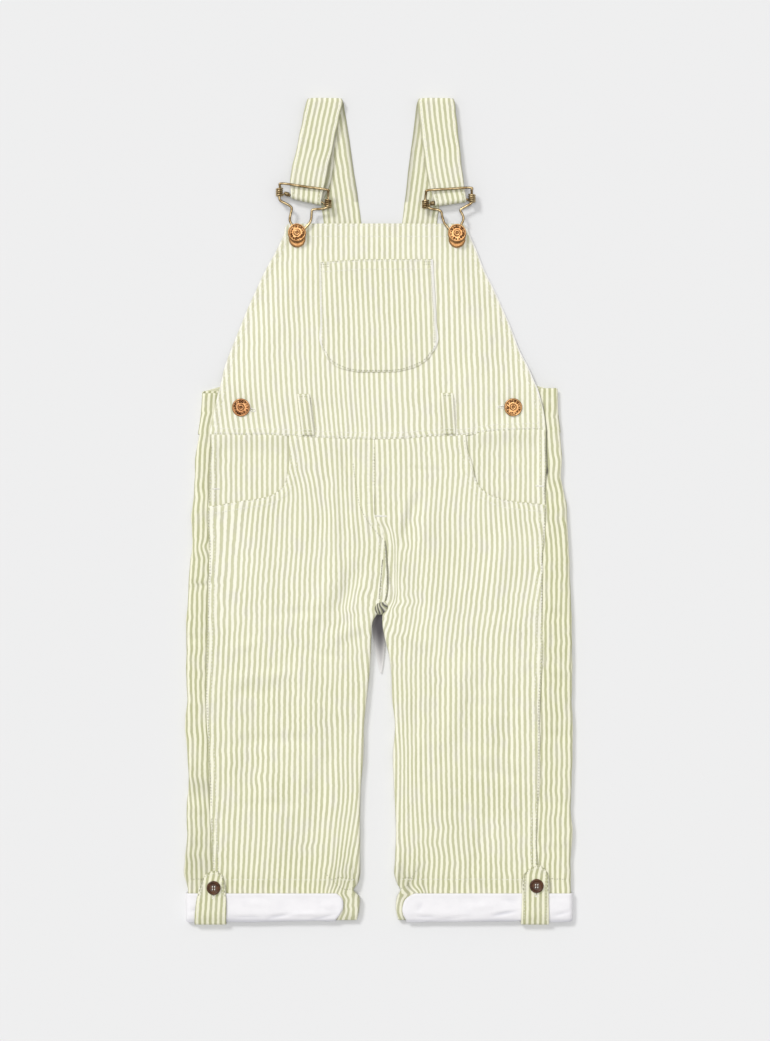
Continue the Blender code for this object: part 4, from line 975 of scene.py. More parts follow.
def crotch_knot_and_shadow_sheet():
    """The knot where the four leg seams meet, with painted shade in its pleats, and a narrow sheet
    below it painted as the shadow in the gap between the legs.
    """
    profile = (
        # y, height in the middle, height at the sides, middle in x, half width
        (-77.2, 6.5, 6.3, 2.2, 2.2), (-78.6, 7.5, 6.3, 1.9, 3.9), (-80.4, 8.5, 6.2, 1.5, 5.3),
        (-82.8, 9.0, 6.1, 1.1, 6.0), (-85.2, 8.6, 5.9, 0.6, 5.9), (-87.2, 7.4, 5.0, 0.1, 5.0),
        (-88.6, 5.4, 4.0, -0.5, 4.3), (-89.6, 3.4, 2.8, -1.0, 4.0), (-91.4, 2.4, 2.2, -1.2, 4.2),
        (-97.0, 2.0, 1.9, -1.4, 4.8), (-106.0, 1.8, 1.7, -1.0, 5.0), (-116.0, 1.7, 1.6, -0.3, 4.4),
        (-126.0, 1.65, 1.55, 0.3, 3.0), (-136.0, 1.6, 1.5, 0.8, 1.2),
    )
    table = spline(profile, 7)
    share = np.linspace(-1, 1, 41)
    y, top, low, middle, half = (table[:, [k]] for k in range(5))
    x = middle + half * share
    ys = y - ramp(y, -92, -112) * 3.0 * (1 - share ** 2)
    knot = ease((y + 91.4) / 4)
    phase = share * 1.7 + 0.18 * (y + 83) - 0.9 * share ** 2 + 0.25 * noise(x, y, (5, 4), 301)
    pleat = 0.5 - 0.5 * np.cos(math.tau * phase)
    z = low + (top - low) * np.sqrt(np.maximum(0, 1 - share ** 2))
    z = z + knot * (0.75 * pleat - 0.5) * (1 - share ** 4)
    # painted shade in the pleats' valleys
    valley_shade = (1 - pleat) ** 2 * 0.8 * knot + 0.25 * knot
    # painted shadow down the sheet below the knot: a dark core right of the middle, fading
    # downwards and towards the sides
    shadow_core = bell(share - 0.2, lerp(1.6, 0.75, ramp(y, -96, -122)))
    fade = lerp(0.94, 0.62, ramp(y, -98, -122)) * (1 - ramp(y, -110, -140))
    fade = fade * lerp(0.35, 1.0, shadow_core) + 0.10 + 0.05 * ease((-0.2 - share) / 0.6)
    shade = np.maximum(np.minimum(valley_shade, 0.95), fade * ease((6.6 - z) / 3.2))
    points = np.stack([x, ys, z], axis=2)
    # the sheet below the knot is stripeless (pale), so that its painted shadow reads as shade on
    # pale ground
    obj = cloth("crotch_knot_and_shadow_sheet", points, lerp(x / LEG_PITCH, phase + 0.25, knot), ys, [], wall=0.5,
                pale=1 - ramp(y, -92, -89), deep=1.0, shade=shade)
    return obj


FACING_STRIPES = {"left": (-135.4, 4.4), "right": (84.5, 4.35)}     # first stripe, pitch


def facing_height(side, x, y):
    """Outer face of a pocket facing: below the leg, and level with the bib at its end."""
    base = HEIGHT + LEG_CROWN * crown(x) * ramp(y, 40, -20)
    beneath = ease((FACING_SHOWS + 4 - np.abs(x)) / 8)
    at_waist = lerp(0.12, TUCK_DROP + 0.05, beneath)
    drop = lerp(at_waist, FACING_DROP, ease((waist_y(x) - y) / 16))
    edge = np.abs(x - flow(LEG_SECTIONS[side], y, 2))
    lifted = drop * (1 - ramp(edge, 4, 9)) + rolled(edge, 0.5, 1.2)
    level = base - drop + lifted + rumple(x, y, 61) + waist_relief(x, y)
    return joined(x, y, level, 1 - beneath)


def pocket_facing(side):
    """The cloth that shows in the scoop of a jeans pocket."""
    ys = np.concatenate([[FACING_TOP + TUCK, 64.8, 64.3],
                         np.linspace(63.8, FACING_INNER[side][-1][0], 44)])
    u = np.linspace(0, 1, 50)
    seam = side_seam(side, ys)
    inner = flow(FACING_INNER[side], ys, 1)
    x = seam[:, None] + (inner - seam)[:, None] * u
    y = np.repeat(ys[:, None], len(u), axis=1)
    y = y + ramp(y, 44, 64) * (waist_y(x) - FACING_TOP)
    past_leg = ease((np.abs(x) - FACING_SHOWS + 4) / 8)
    z = facing_height(side, x, y) - tucked(y, waist_y(x)) * past_leg
    first, pitch = FACING_STRIPES[side]
    stripe = (x - first) / pitch + wiggle(x, y, 251)
    points, stripe, run = facing_out(side == "right", np.stack([x, y, z], axis=2), stripe, y)
    obj = cloth(f"facing_{side}", points, stripe, run, [f"pocket_facing_{side}"], deep=0.3)
    return obj


# ---- bib -----------------------------------------------------------------------------------------
def front_bib():
    """The front bib, from its top hem down to the waist seam."""
    ys = np.concatenate([BIB_TOP - np.array([0, 0.4, 1.0]), np.arange(242.2, 64.6, -1.5),
                         [64.2, 63.4, 62.7, 62.12, BIB_FOOT]])
    left, right = flows(BIB_SECTIONS, ys, 1, 2)
    x = edged_rows(left, right, np.array(BIB_EDGE), 176)
    y = np.repeat(ys[:, None], x.shape[1], axis=1)
    y = y + ease((y.max() - y - 140) / 40) * (waist_y(x) - 0.1 - BIB_FOOT)
    inside = np.minimum(x - left[:, None], right[:, None] - x)
    z = bib_height(x, y) + rolled(inside, 0.5, 1.2) + rolled(BIB_TOP - y, 0.4, 1.2)
    for hole_x, hole_y in SIDE_BUTTONS.values():
        z = z - 0.3 * bell(np.hypot(x - hole_x, y - hole_y), 5)
    pale = (1 - ease((inside - 0.5) / 1.3)) * ramp(y, 84, 98) * np.where(x < 0, 0.3, 0.85)
    stripe = guided(BIB_STRIPES, x, y, BIB_PITCH) + 0.7 * wiggle(x, y, 261)
    stripe += 0.35 * noise(x, 0 * y, (9, 9), 264) * ease((5 - y + waist_y(x)) / 5)
    points = np.stack([x, y, z], axis=2)
    obj = cloth("bib_front", points, stripe, y, ["front_bib"], pale=pale, deep=0.12)
    return obj


def back_bib():
    """The back bib's hidden floor, with its two sides wrapped round to lie beneath the front."""
    steps, floor_columns, lap_columns = 10, 90, 14
    radius = WRAP_HEIGHT / 2
    ys = np.concatenate([[WAIST_BACK, 64.52], np.linspace(65.6, SIDE_TOP, 20),
                         np.linspace(103, BACK_TOP, 40)])
    down = math.pi / 2 - math.pi * np.arange(steps) / steps
    back_up = math.pi * 1.5 - math.pi * (np.arange(steps) / steps + 1 / steps)
    lap_z = np.full(lap_columns, WRAP_HEIGHT)
    zs = np.concatenate([lap_z, radius + radius * np.sin(down), np.zeros(floor_columns),
                         radius + radius * np.sin(back_up), lap_z])
    rows, keep = [], []
    for y in ys:
        wrapped = y <= SIDE_TOP
        left, right = flows(BACK_SIDES if wrapped else BACK_ARMHOLE, y, 1, 2)
        inset = radius if wrapped else 0.0
        xs = np.concatenate([
            np.linspace(right - radius - BACK_LAP, right - radius, lap_columns, endpoint=False),
            right - radius + radius * np.cos(down),
            np.linspace(right - inset, left + inset, floor_columns),
            left + radius + radius * np.cos(back_up),
            np.linspace(left + radius, left + radius + BACK_LAP, lap_columns + 1)[1:],
        ])
        rows.append((xs, np.full(len(xs), y), zs))
        kept = np.full(len(xs), wrapped)
        kept[lap_columns + steps:-lap_columns - steps] = True
        keep.append(kept)
    x, y, z = stacked(rows)
    beneath = ease((WRAP_HEIGHT - z) / WRAP_HEIGHT)
    low = ramp(y, 84, 64)
    y = y + low * (lerp(waist_y(x), WAIST_BACK, beneath) - 0.1 - WAIST_BACK)
    y = y + 0.015 * x * ramp(y, 90, 101) * (y < 102.6) * (1 - beneath)
    wx, wy = wandering(x, y, 71)
    z = z + (folds(wx, wy, BACK_FOLDS) + 0.1 * np.abs(noise(x, y, (12, 20), 72))) * (z < 0.01)
    bib_edge = np.where(x < 0, flow(BIB_SECTIONS, y, 1) - x, x - flow(BIB_SECTIONS, y, 2))
    front = z > WRAP_HEIGHT - 0.01
    z = z + (wrap_relief(x, y) + beside_front(bib_edge)) * front
    # painted shadow: the dark line along the right side, where the wrapped side dips beneath the
    # front
    shade = np.clip(gap_shade(bib_edge, y), 0, 1) * front * (x > 0)
    arc = run_across(x, z)
    right = strip_stripe("right", x[:, :1] + arc, y)
    left = strip_stripe("left", x[:, -1:] - (arc[:, -1:] - arc), y)
    columns = arc.shape[1]
    share = ease((np.arange(columns) - lap_columns - steps) / floor_columns)
    offset = round(float(np.median(right[:, columns // 2] - left[:, columns // 2])))
    stripe = lerp(right, left + offset, share)
    # darker green on the wrapped sides (deep 0.95), partly painted shade as on the side strips
    obj = cloth("bib_back", np.stack([x, y, z], axis=2)[::-1], stripe[::-1], y[::-1],
                ["back_bib"], deep=0.95, shade=shade[::-1], keep=np.array(keep)[::-1], clamp=0.0)
    return obj


def pocket_height(x, y):
    """Outer face of the bib pocket."""
    left, right = flows(BIB_POCKET, y, 1, 2)
    base = bib_height(x, y) + CLOTH + 0.1
    away, run = to_line(x, y, POCKET_LINE)
    relief = stitched_edge(away, run, (1.5,), 81, 0.2) + rolled(away, 0.55, 1.3)
    relief += stitched_edge(np.maximum(212.5 - y, 0), x, (9.0,), 83, 0.2)
    middle = ease(np.minimum(x - left, right - x) / 30)
    return base + relief + middle * (0.25 + 0.2 * noise(x, y, (16, 26), 85))


def pocket_edge(x, y, left):
    """y raised as the pocket's top edge rises away from its left corner."""
    return y + POCKET_TOP_RISE * np.sin(math.pi / 2 * np.clip((x - left) / 50, 0, 1))


POCKET_LINE = spline([(-51.9, 208.0)] + [(row[1], row[0]) for row in BIB_POCKET[1:]]
                     + [(-4.0, 117.0)] + [(row[2], row[0]) for row in BIB_POCKET[:0:-1]]
                     + [(45.0, 211.0)], 8)


def bib_pocket():
    """The patch on the bib, with a pale rim down each side, painted as the light that the edge of
    its hem catches.
    """
    ys = np.concatenate([[POCKET_TOP, 210.3, 209.4], np.arange(208.2, 134, -1.3),
                         np.arange(133.8, 119.8, -0.8), np.arange(119.6, 117.4, -0.4), [117.4]])
    left, right = flows(BIB_POCKET, ys, 1, 2)
    x = edged_rows(left, right, np.array(POCKET_EDGE), 66)
    y = np.repeat(ys[:, None], x.shape[1], axis=1)
    y = np.where(y > 190, y + ramp(y, 190, 210) * (pocket_edge(x, 0, left[:, None])), y)
    z = pocket_height(x, y)
    stripe = guided(POCKET_STRIPES, x, y, BIB_PITCH) + 0.55 * wiggle(x, y, 271)
    points = np.stack([x, y, z], axis=2)
    upper = ramp(y, 128, 142)
    # painted highlight: stripes paled along each side edge, for the light that the hem catches
    left_rim = 0.6 * (1 - ease((x - left[:, None] - 1.2) / 0.9))
    right_rim = 0.75 * (1 - ease((right[:, None] - x - 1.7) / 0.8))
    obj = cloth("pocket", points, stripe, y, ["bib_pocket"], deep=0.25,
                pale=np.maximum(left_rim, right_rim) * upper)
    return obj


def loop_shape(side, t, share):
    """A point of a belt loop: t runs down it, share across from -0.5 to 0.5."""
    t, share = np.broadcast_arrays(t, share)
    top_x, top_y, foot_x, foot_y = BELT_LOOPS[side]
    x = lerp(top_x, foot_x, t) + LOOP_WIDTH * share
    y = lerp(top_y, foot_y, t)
    rise = LOOP_ARCH * np.sin(math.pi * np.clip(t, 0, 1) ** 0.75)
    z = HEIGHT + LIE_GAP + WALL + rise - 0.5 * ease((np.abs(share) - 0.4) / 0.1)
    z = z - 0.5 * (ease((0.05 - t) / 0.05) + ease((t - 0.95) / 0.05))
    z = z - 0.3 * bell(np.abs(share) - 0.33, 0.05)
    return x, y, z + 0.1 * noise(x, y, (3, 5), 91)


def belt_loop(side):
    t, share = np.meshgrid(np.linspace(0, 1, 34), np.linspace(-0.5, 0.5, 15), indexing="ij")
    x, y, z = loop_shape(side, t, share)
    points = np.stack([x, y, z], axis=2)
    obj = cloth(f"loop_{side}", points, share * LOOP_WIDTH / BIB_PITCH + 0.5, y,
                [f"belt_loop_{side}"])
    return obj


# ---- folds that turn right over, and straps ------------------------------------------------------
def half_turn(radius, steps):
    """Round a fold, step by step: how far it stands out, and how far over it has come."""
    for k in range(1, steps + 1):
        angle = math.pi * k / steps
        yield radius * math.sin(angle), radius * (1 - math.cos(angle))


def short_of(edge, target):
    """An edge pair 2 mm before the target, so that the curve doesn't swing past a fold."""
    ends = []
    for a, b in zip(edge, target):
        a, b = np.array(a, float), np.array(b, float)
        ends.append(tuple(b + (a - b) * 2.0 / np.linalg.norm(a - b)))
    return tuple(ends)


def strap_edges(side):
    """Left and right edge of a strap, from the back bib round to its sewn-back tail."""
    steps = 5
    edges = [((left, y, z), (right, y, z)) for left, right, y, z in STRAP_BACK[side]]
    edges.insert(-1, short_of(edges[-2], edges[-1]))
    front, tail = ([((lx, ly, z), (rx, ry, z)) for lx, ly, rx, ry, z in rows]
                   for rows in (STRAP_FRONT[side], STRAP_TAIL[side]))
    left, right = front[0][0][0], front[0][1][0]
    for out, over in list(half_turn(STRAP_FOLD_RADIUS, steps))[:-1]:
        edges.append(((left, STRAP_FOLD_Y + out, over), (right, STRAP_FOLD_Y + out, over)))
    front.insert(1, short_of(front[1], front[0]))
    front.insert(-1, short_of(front[-2], front[-1]))
    edges += front
    (lx, ly, top), (rx, ry, _) = front[-1]
    for out, over in half_turn(STRAP_FOLD_RADIUS, steps):
        edges.append(((lx, ly - out, top - over), (rx, ry - out, top - over)))
    return edges + [short_of(tail[0], edges[-1])] + tail


def strap_surface(side):
    """Rows of points along a strap, with its run, and the outward normal at each."""
    edges = np.array(strap_edges(side), float)
    steps = np.linalg.norm(np.diff(edges.mean(axis=1), axis=0), axis=1)
    knots = np.concatenate([[0], np.cumsum(steps)])
    rows = np.column_stack([knots, edges.reshape(-1, 6)])
    places = [np.linspace(a, b, max(3, math.ceil((b - a) / 1.4)), endpoint=False)
              for a, b in zip(knots, knots[1:])]
    places = np.concatenate(places + [knots[-1:]])
    columns = np.stack(flows(rows, places, *range(1, 7)), axis=1)
    left, right = columns[:, :3], columns[:, 3:]
    share = np.linspace(0, 1, 21)
    points = left[:, None] + (right - left)[:, None] * share[None, :, None]
    run = np.concatenate([[0], np.cumsum(np.linalg.norm(np.diff(points[:, 10], axis=0), axis=1))])
    along = np.gradient(points, axis=0)
    over = np.gradient(points, axis=1)
    normal = np.cross(over, along)
    normal /= np.linalg.norm(normal, axis=2, keepdims=True)
    return points, share, run, -normal


def strap_points(side):
    """A strap's outer surface with its relief, and each point's seat across it and run along it."""
    points, share, run, normal = strap_surface(side)
    width = np.linalg.norm(points[:, -1] - points[:, 0], axis=1)[:, None]
    seat = share[None] * width
    edge = np.minimum(seat, width - seat)
    along = np.repeat(run[:, None], len(share), axis=1)
    relief = rolled(edge, 0.45, 1.6) - 0.2 * bell(edge - STRAP_ROW, 0.9)
    relief += 0.16 * noise(seat, along, (9, 14), 101) + 0.1 * noise(seat, along, (4, 5), 102)
    points = points + normal * relief[..., None]
    top = bell(points[..., 1] - STRAP_FOLD_Y - STRAP_FOLD_RADIUS, 2.6)
    outward = np.sign(seat - width / 2) * bell(edge, 2.2)
    points[..., 0] += 0.25 * noise(along, 0 * seat, (9, 9), 103) * bell(edge, 3)
    points[..., 0] -= STRAP_CORNER * top * outward
    points[..., 2] = np.maximum(points[..., 2], 0.05)
    return points, seat, along, normal


def strap(side):
    """A shoulder strap in one piece, over the top fold and round the slide bar."""
    points, seat, along, _ = strap_points(side)
    width = seat[:, -1:]
    edge = np.minimum(seat, width - seat)
    stripe = (seat - width / 2) / BIB_PITCH + 0.5 + 0.7 * wiggle(seat, along, 281)
    # painted shadow: the strap's lower layers, its back and tail, darker near their edges above the
    # buckle, beside the front layer
    under = ease((5.0 - points[..., 2]) / 2) * ramp(edge, 6, 0) * (points[..., 1] > 262)
    obj = cloth(f"shoulder_strap_{side}", points, stripe, along, [f"strap_{side}"],
                wall=STRAP_CLOTH, deep=0.62, shade=0.35 * under)
    return obj


# ---- metal ---------------------------------------------------------------------------------------
def swept(name, points, radius, node, slot, closed=False):
    """A round wire along a path, darker on its lower side as painted shade."""
    points = np.asarray(points, float)
    ways = np.roll(points, -1, axis=0) - np.roll(points, 1, axis=0)
    if not closed:
        ways[0], ways[-1] = points[1] - points[0], points[-1] - points[-2]
    ways /= np.linalg.norm(ways, axis=1, keepdims=True)
    sides = 14
    angles = math.tau * np.arange(sides) / sides
    side = np.cross(ways[0], (0.0, 0.0, 1.0))
    vertices, marks_patina_and_shade_values = [], []
    for point, way in zip(points, ways):
        side = side - way * side.dot(way)
        side /= np.linalg.norm(side)
        spoke = np.outer(np.cos(angles), side) + np.outer(np.sin(angles), np.cross(side, way))
        vertices.append(point + radius * spoke)
        # painted shade: the wire darker the more its surface faces down
        marks_patina_and_shade_values.append(ease(0.42 - 0.6 * spoke[:, 2]) * 0.85)
    rings = len(points)
    faces = [[r * sides + k, r * sides + (k + 1) % sides, (r + 1) % rings * sides + (k + 1) % sides,
              (r + 1) % rings * sides + k]
             for r in range(rings if closed else rings - 1) for k in range(sides)]
    if not closed:
        faces += [list(range(sides))[::-1], list(range((rings - 1) * sides, rings * sides))]
    obj = mesh_object(name, np.concatenate(vertices), faces, slot,
                      {"marks_patina_and_shade": np.concatenate(marks_patina_and_shade_values)})
    return piece(obj, slot, node)


def coil(x, y, outward):
    """Turns round the frame's side wire, from above the slide bar's end down to below it."""
    per_turn = 18
    half = COIL_PITCH * COIL_TURNS / 2
    points = []
    for k in range(COIL_TURNS * per_turn + 1):
        turns_left = COIL_TURNS - k / per_turn
        angle = -math.pi / 2 - outward * math.tau * turns_left
        points.append((x + COIL_RADIUS * math.cos(angle), y - half + COIL_PITCH * turns_left,
                       SIDE_WIRE_Z + COIL_RADIUS * math.sin(angle)))
    return points


def winding(start, end, first, last, turns, radius):
    """Turns wound round the bar between two places on it, given as shares of its length."""
    start, end = np.array(start), np.array(end)
    points = []
    for k in range(turns * 14 + 1):
        t = k / 14
        reach = radius * float(ease(min(t, turns - t) / 0.3))
        middle = lerp(start, end, lerp(first, last, t / turns))
        points.append(tuple(middle + (0.0, reach * math.sin(math.tau * t),
                                      reach * math.cos(math.tau * t))))
    return points


def buckle(side):
    """The bent wire of a buckle, and its slide bar with a coil at each end."""
    swept(f"buckle_{side}", spline(BUCKLE[side], 8, closed=True), WIRE_RADIUS,
          f"buckle_frame_{side}", "brass_wire", closed=True)
    (left_x, left_y), (right_x, right_y) = SLIDE_BAR[side]
    left, right = coil(left_x, left_y, 1), coil(right_x, right_y, -1)[::-1]
    share = BAR_BEND / (right_x - left_x)
    low = left[-1][2] + 0.4
    start = (left_x + BAR_BEND, lerp(left_y, right_y, share), low)
    end = (right_x - BAR_BEND, lerp(right_y, left_y, share), low)
    wound = winding(start, end, 0.0, 0.13, 3, 1.2)
    turned_in = spline([left[-1], (left_x + 1.6, left[-1][1] + 0.5, low - 0.3), start], 5)
    turned_out = spline([end, (right_x - 1.6, right[0][1] + 0.5, low - 0.3), right[0]], 5)
    path = left + list(turned_in[1:-1]) + wound + list(turned_out[:-1]) + right
    swept(f"slide_{side}", path, SLIDE_RADIUS, f"slide_bar_{side}", "brass_wire")


def ring_mesh(profile, steps):
    """Vertices, faces and darkness of a turned shape, closed at both ends of its profile."""
    points, rings, marks_patina_and_shade_values = [], [], []
    for radius, z, marks_patina_and_shade in profile:
        count = 1 if radius < 1e-6 else steps
        rings.append(list(range(len(points), len(points) + count)))
        points += [(radius * math.cos(math.tau * k / steps),
                    radius * math.sin(math.tau * k / steps), z) for k in range(count)]
        marks_patina_and_shade_values += [marks_patina_and_shade] * count
    faces = []
    for low, high in zip(rings, rings[1:]):
        for k in range(steps):
            n = (k + 1) % steps
            quad = [low[k % len(low)], low[n % len(low)], high[n % len(high)], high[k % len(high)]]
            faces.append(list(dict.fromkeys(quad)))
    return points, faces, marks_patina_and_shade_values


DOT = (
    # radius and height, as shares of a mark's size, and how dark
    (0, -0.3, 1), (0.42, -0.14, 1), (0.36, 0.02, 1), (0.2, 0.06, 0.9), (0, 0.08, 0.9),
)


def dot_ring(count, radius, size, seed):
    """Small dark marks round a circle, uneven in size. Each row is x, y and size."""
    dice = np.random.default_rng(seed)
    rows = []
    for k in range(count):
        angle = math.tau * (k + dice.uniform(-0.15, 0.15)) / count
        reach = radius * dice.uniform(0.92, 1.08)
        rows.append((reach * math.cos(angle), reach * math.sin(angle),
                     size * dice.uniform(0.55, 1.3)))
    return rows


def turned(name, profile, foot, slot, node, lean=(0.0, 0.0), dots=(), dot_z=0.0, steps=56,
           tilt=(0.0, 0.0), material=None):
    """A turned button with small round dots on its face, leaning in x and y as it rises.

    Each row of the profile is a radius, a height, and how dark the metal is there: patina, and
    painted shade under its rim and on its shank. tilt is how much it rises along x and y. material
    is given where it isn't the slot's own."""
    profile = [[max(0.0, r), z, min(1.0, max(0.0, g))] for r, z, g in spline(profile, 3)]
    profile[0][0] = profile[-1][0] = 0.0
    points, faces, marks_patina_and_shade_values = ring_mesh(profile, steps)
    for x, y, size in dots:
        dot_points, dot_faces, dot_marks_and_shade = ring_mesh([(r * size, z * size, g)
                                                        for r, z, g in DOT], 10)
        faces += [[len(points) + v for v in face] for face in dot_faces]
        points += [(px + x, py + y, pz + dot_z) for px, py, pz in dot_points]
        marks_patina_and_shade_values += dot_marks_and_shade
    top = max(row[1] for row in profile)
    fx, fy, fz = foot
    points = [(px + fx + lean[0] * pz / top, py + fy + lean[1] * pz / top,
               pz + fz + (tilt[0] * px + tilt[1] * py) * pz / top) for px, py, pz in points]
    obj = mesh_object(name, points, faces, material or slot, {"marks_patina_and_shade": marks_patina_and_shade_values})
    obj.data.set_sharp_from_angle(angle=math.radians(50))
    return piece(obj, slot, node)


def node_heights(node):
    """Lowest and highest point of a CAD node, in millimetres."""
    low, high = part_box(node)
    return low[2] / MM, high[2] / MM


BUTTON_FACE = (
    # share of the radius, height above the rim's foot, how dark (patina in the hollows, painted
    # shade under the rim): a rounded rim, a shallow ring for the marks, and a low stud
    (0.9, 0, 0.9), (1, 0.5, 0.7), (1, 1.1, 0.25), (0.95, 1.55, 0), (0.87, 1.6, 0),
    (0.82, 1.3, 0.55), (0.78, 1.2, 0.35), (0.6, 1.3, 0.12), (0.42, 1.35, 0.12), (0.34, 1.2, 0.6),
    (0.3, 1.5, 0.15), (0.2, 1.55, 0), (0.14, 1.3, 0.85), (0, 1.3, 0.7),
)
BIB_SPOOL = (
    # the same below a bib button's face, from its foot up, darkest at its neck as painted shade
    # under the face
    (0, 0, 0), (0.6, 0, 0), (0.88, 0.1, 0.2), (0.92, 0.5, 0), (0.84, 1, 0.1), (0.62, 1.2, 0.6),
    (0.45, 1.4, 1),
)
BIB_SHANK = ((2.4, 1.6, 1), (2.2, 2.8, 1), (2.5, 3.8, 1))       # in millimetres, all dark as painted shade under the face
BIB_FACE_Z = 4.2
TAB_BUTTON = (
    (0, 0, 0), (0.5, 0, 0), (0.8, 0.05, 0), (1, 0.8, 0), (0.97, 1.6, 0), (0.86, 2, 0),
    (0.74, 1.8, 0), (0.62, 1.3, 0), (0.3, 1.25, 0), (0, 1.3, 0),
)
DOT_COUNT = 15
DOT_CIRCLE = 0.66       # of the button's radius
DOT_RISE = 1.3          # above the rim's foot


def sized(rows, radius, rise=0.0):
    """Rows of a button's profile, from shares of its radius to millimetres."""
    return tuple((radius * share, rise + up, dark) for share, up, dark in rows)


def buttons():
    for side, (x, y) in BIB_BUTTONS.items():
        r = BIB_BUTTON_RADIUS
        low, _ = node_heights(f"bib_button_{side}")
        profile = sized(BIB_SPOOL, r) + BIB_SHANK + sized(BUTTON_FACE, r, BIB_FACE_Z)
        dots = dot_ring(DOT_COUNT, r * DOT_CIRCLE, 2.7, 311 + SIGN[side])
        turned(f"spool_button_{side}", profile, (x, y, low), "copper", f"bib_button_{side}",
               (0.0, BIB_BUTTON_LEAN), dots, BIB_FACE_Z + DOT_RISE)
    for side, (x, y) in SIDE_BUTTONS.items():
        r = SIDE_BUTTON_RADIUS
        low, high = node_heights(f"side_button_{side}")
        rise = high - low - 1.9
        # the shank is dark all over: painted shade under the face
        shank = ((0, 0, 1), (1.2, 0, 1), (1.6, 0.2, 1), (1.6, rise - 0.2, 1), (r * 0.6, rise, 1))
        dots = dot_ring(DOT_COUNT, r * DOT_CIRCLE, 2.6, 321 + SIGN[side])
        turned(f"waist_button_{side}", shank + sized(BUTTON_FACE, r, rise), (x, y, low),
               "copper", f"side_button_{side}", dots=dots, dot_z=rise + DOT_RISE,
               tilt=SIDE_TILT[side], material=SIDE_METAL[side])
    for side, (x, y) in TAB_BUTTONS.items():
        low, _ = node_heights(f"tab_button_{side}")
        # the four holes are dark dots: painted shade in the holes
        holes = [(i * TAB_HOLE[0], j * TAB_HOLE[1], 2.0) for i in (-1, 1) for j in (-1, 1)]
        turned(f"sewn_button_{side}", sized(TAB_BUTTON, TAB_BUTTON_RADIUS), (x, y, low),
               "brown_button", f"tab_button_{side}", dots=holes, dot_z=1.25)


# ---- turn-ups and tabs ---------------------------------------------------------------------------
CUFF_WRINKLES = (
    # from x, y,    to x, y,      half width, height
    (-164, -343, -152, -337, 2.6, -0.6), (-128, -345.5, -96, -346.5, 1.8, -0.55),
    (-98, -347, -74, -343.5, 2.2, -0.9), (-76, -343.5, -52, -341.5, 2.8, 0.6),
    (-60, -346.5, -36, -343, 2.2, -0.8), (-50, -333, -38, -338, 4, 0.5),
    (-120, -333, -90, -336, 5, 0.35), (36, -332, 30, -344, 4, -0.5),
    (26, -346, 50, -344.5, 2.2, -0.75), (44, -346.5, 78, -345, 1.8, -0.5),
    (92, -346, 119, -340.5, 2.4, -0.95), (70, -338, 100, -336, 5, 0.4),
    (144, -345.5, 163, -341, 2.4, -0.8), (102, -330, 118, -334, 4, -0.4),
)


def cuff_foot(x):
    """How far the turn-up's lower edge stands above its lowest line."""
    return 0.9 + 0.7 * noise(x, 0 * x, (38, 10), 111) + 0.3 * noise(x, 0 * x, (11, 10), 112)


def cuff(side):
    """A turn-up, round the leg's end on three sides, with a rounded lower lip."""
    sign = SIGN[side]
    across, steps, lip_steps = 64, 12, 8
    outer = LEG_SECTIONS[side][-1][1] + sign * CUFF_STEP
    top = HEIGHT + CUFF_STEP
    radius = top / 2
    arc_x = outer - sign * radius
    ys = np.linspace(CUFF_TOP, CUFF_FOLD, 20)
    inners = flow(CUFF_INNER[side], ys, 1)

    def section(inner):
        share = np.arange(across) / across
        angles = math.pi / 2 - math.pi * np.arange(steps + 1) / steps
        back = (np.arange(across) + 1) / across
        x = np.concatenate([lerp(inner, arc_x, share), arc_x + sign * radius * np.cos(angles),
                            lerp(arc_x, inner, back)])
        z = np.concatenate([np.full(across, top), radius + radius * np.sin(angles),
                            np.zeros(across)])
        nx = np.concatenate([np.zeros(across), -sign * np.cos(angles), np.zeros(across)])
        nz = np.concatenate([np.full(across, -1.0), -np.sin(angles), np.full(across, 1.0)])
        return x, z, nx, nz

    rows = []
    for y, inner in zip(ys, inners):
        x, z, nx, nz = section(inner)
        rows.append((x, np.full(len(x), y), z, nx, nz))
    x, z, nx, nz = section(inners[-1])
    for out, inward in half_turn(LIP_RADIUS, lip_steps):
        rows.append((x + nx * inward, np.full(len(x), CUFF_FOLD - out), z + nz * inward, nx, nz))
    x, y, z, nx, nz = stacked(rows)
    y = y + cuff_foot(x) * ease((CUFF_TOP - 6 - y) / 16)
    wx, wy = wandering(x, y, 113, 1.2)
    relief = 1.3 * folds(wx, wy, CUFF_WRINKLES) + 0.12 * noise(x, y, (11, 7), 114)
    relief += 0.35 * bell(y - CUFF_TOP + 1.2, 1.6)
    front = (nz < 0) * 1.0
    back = (nz > 0) * 1.0
    lip = np.zeros_like(y)
    lip[len(ys) - 1:] = 1
    body = 1 - lip
    fade = np.ones_like(y)
    fade[len(ys):] = np.linspace(1, 0.6, lip_steps)[:, None]
    z = z + relief * front * body + 0.15 * np.abs(relief) * back * body
    z = z - foot_drop(y) * fade * np.clip(z / top, 0, 1)
    # painted shade in the troughs of the wrinkles and along the lower edge where the turn-up curves
    # down, with random mottling
    wrinkle_shade_and_mottle = np.clip(-0.8 * folds(*wandering(x, y, 113, 1.2), CUFF_WRINKLES), 0, 1)
    wrinkle_shade_and_mottle = wrinkle_shade_and_mottle + 0.65 * ease((CUFF_FOLD + 4.5 - y) / 4.5) + 0.2 * noise(x, y, (34, 9), 115)
    points, stripe, run, shade = facing_out(
        side == "left", np.stack([x, y, z], axis=2), x / LEG_PITCH, y, np.clip(wrinkle_shade_and_mottle, 0, 1))
    obj = cloth(f"turn_up_{side}", points, stripe, run, [f"cuff_{side}"], material="lining",
                shade=shade)
    return obj


def tab_edges(side, y):
    """x of a tab's left and right edge."""
    return flows(TAB[side], y, 1, 2)


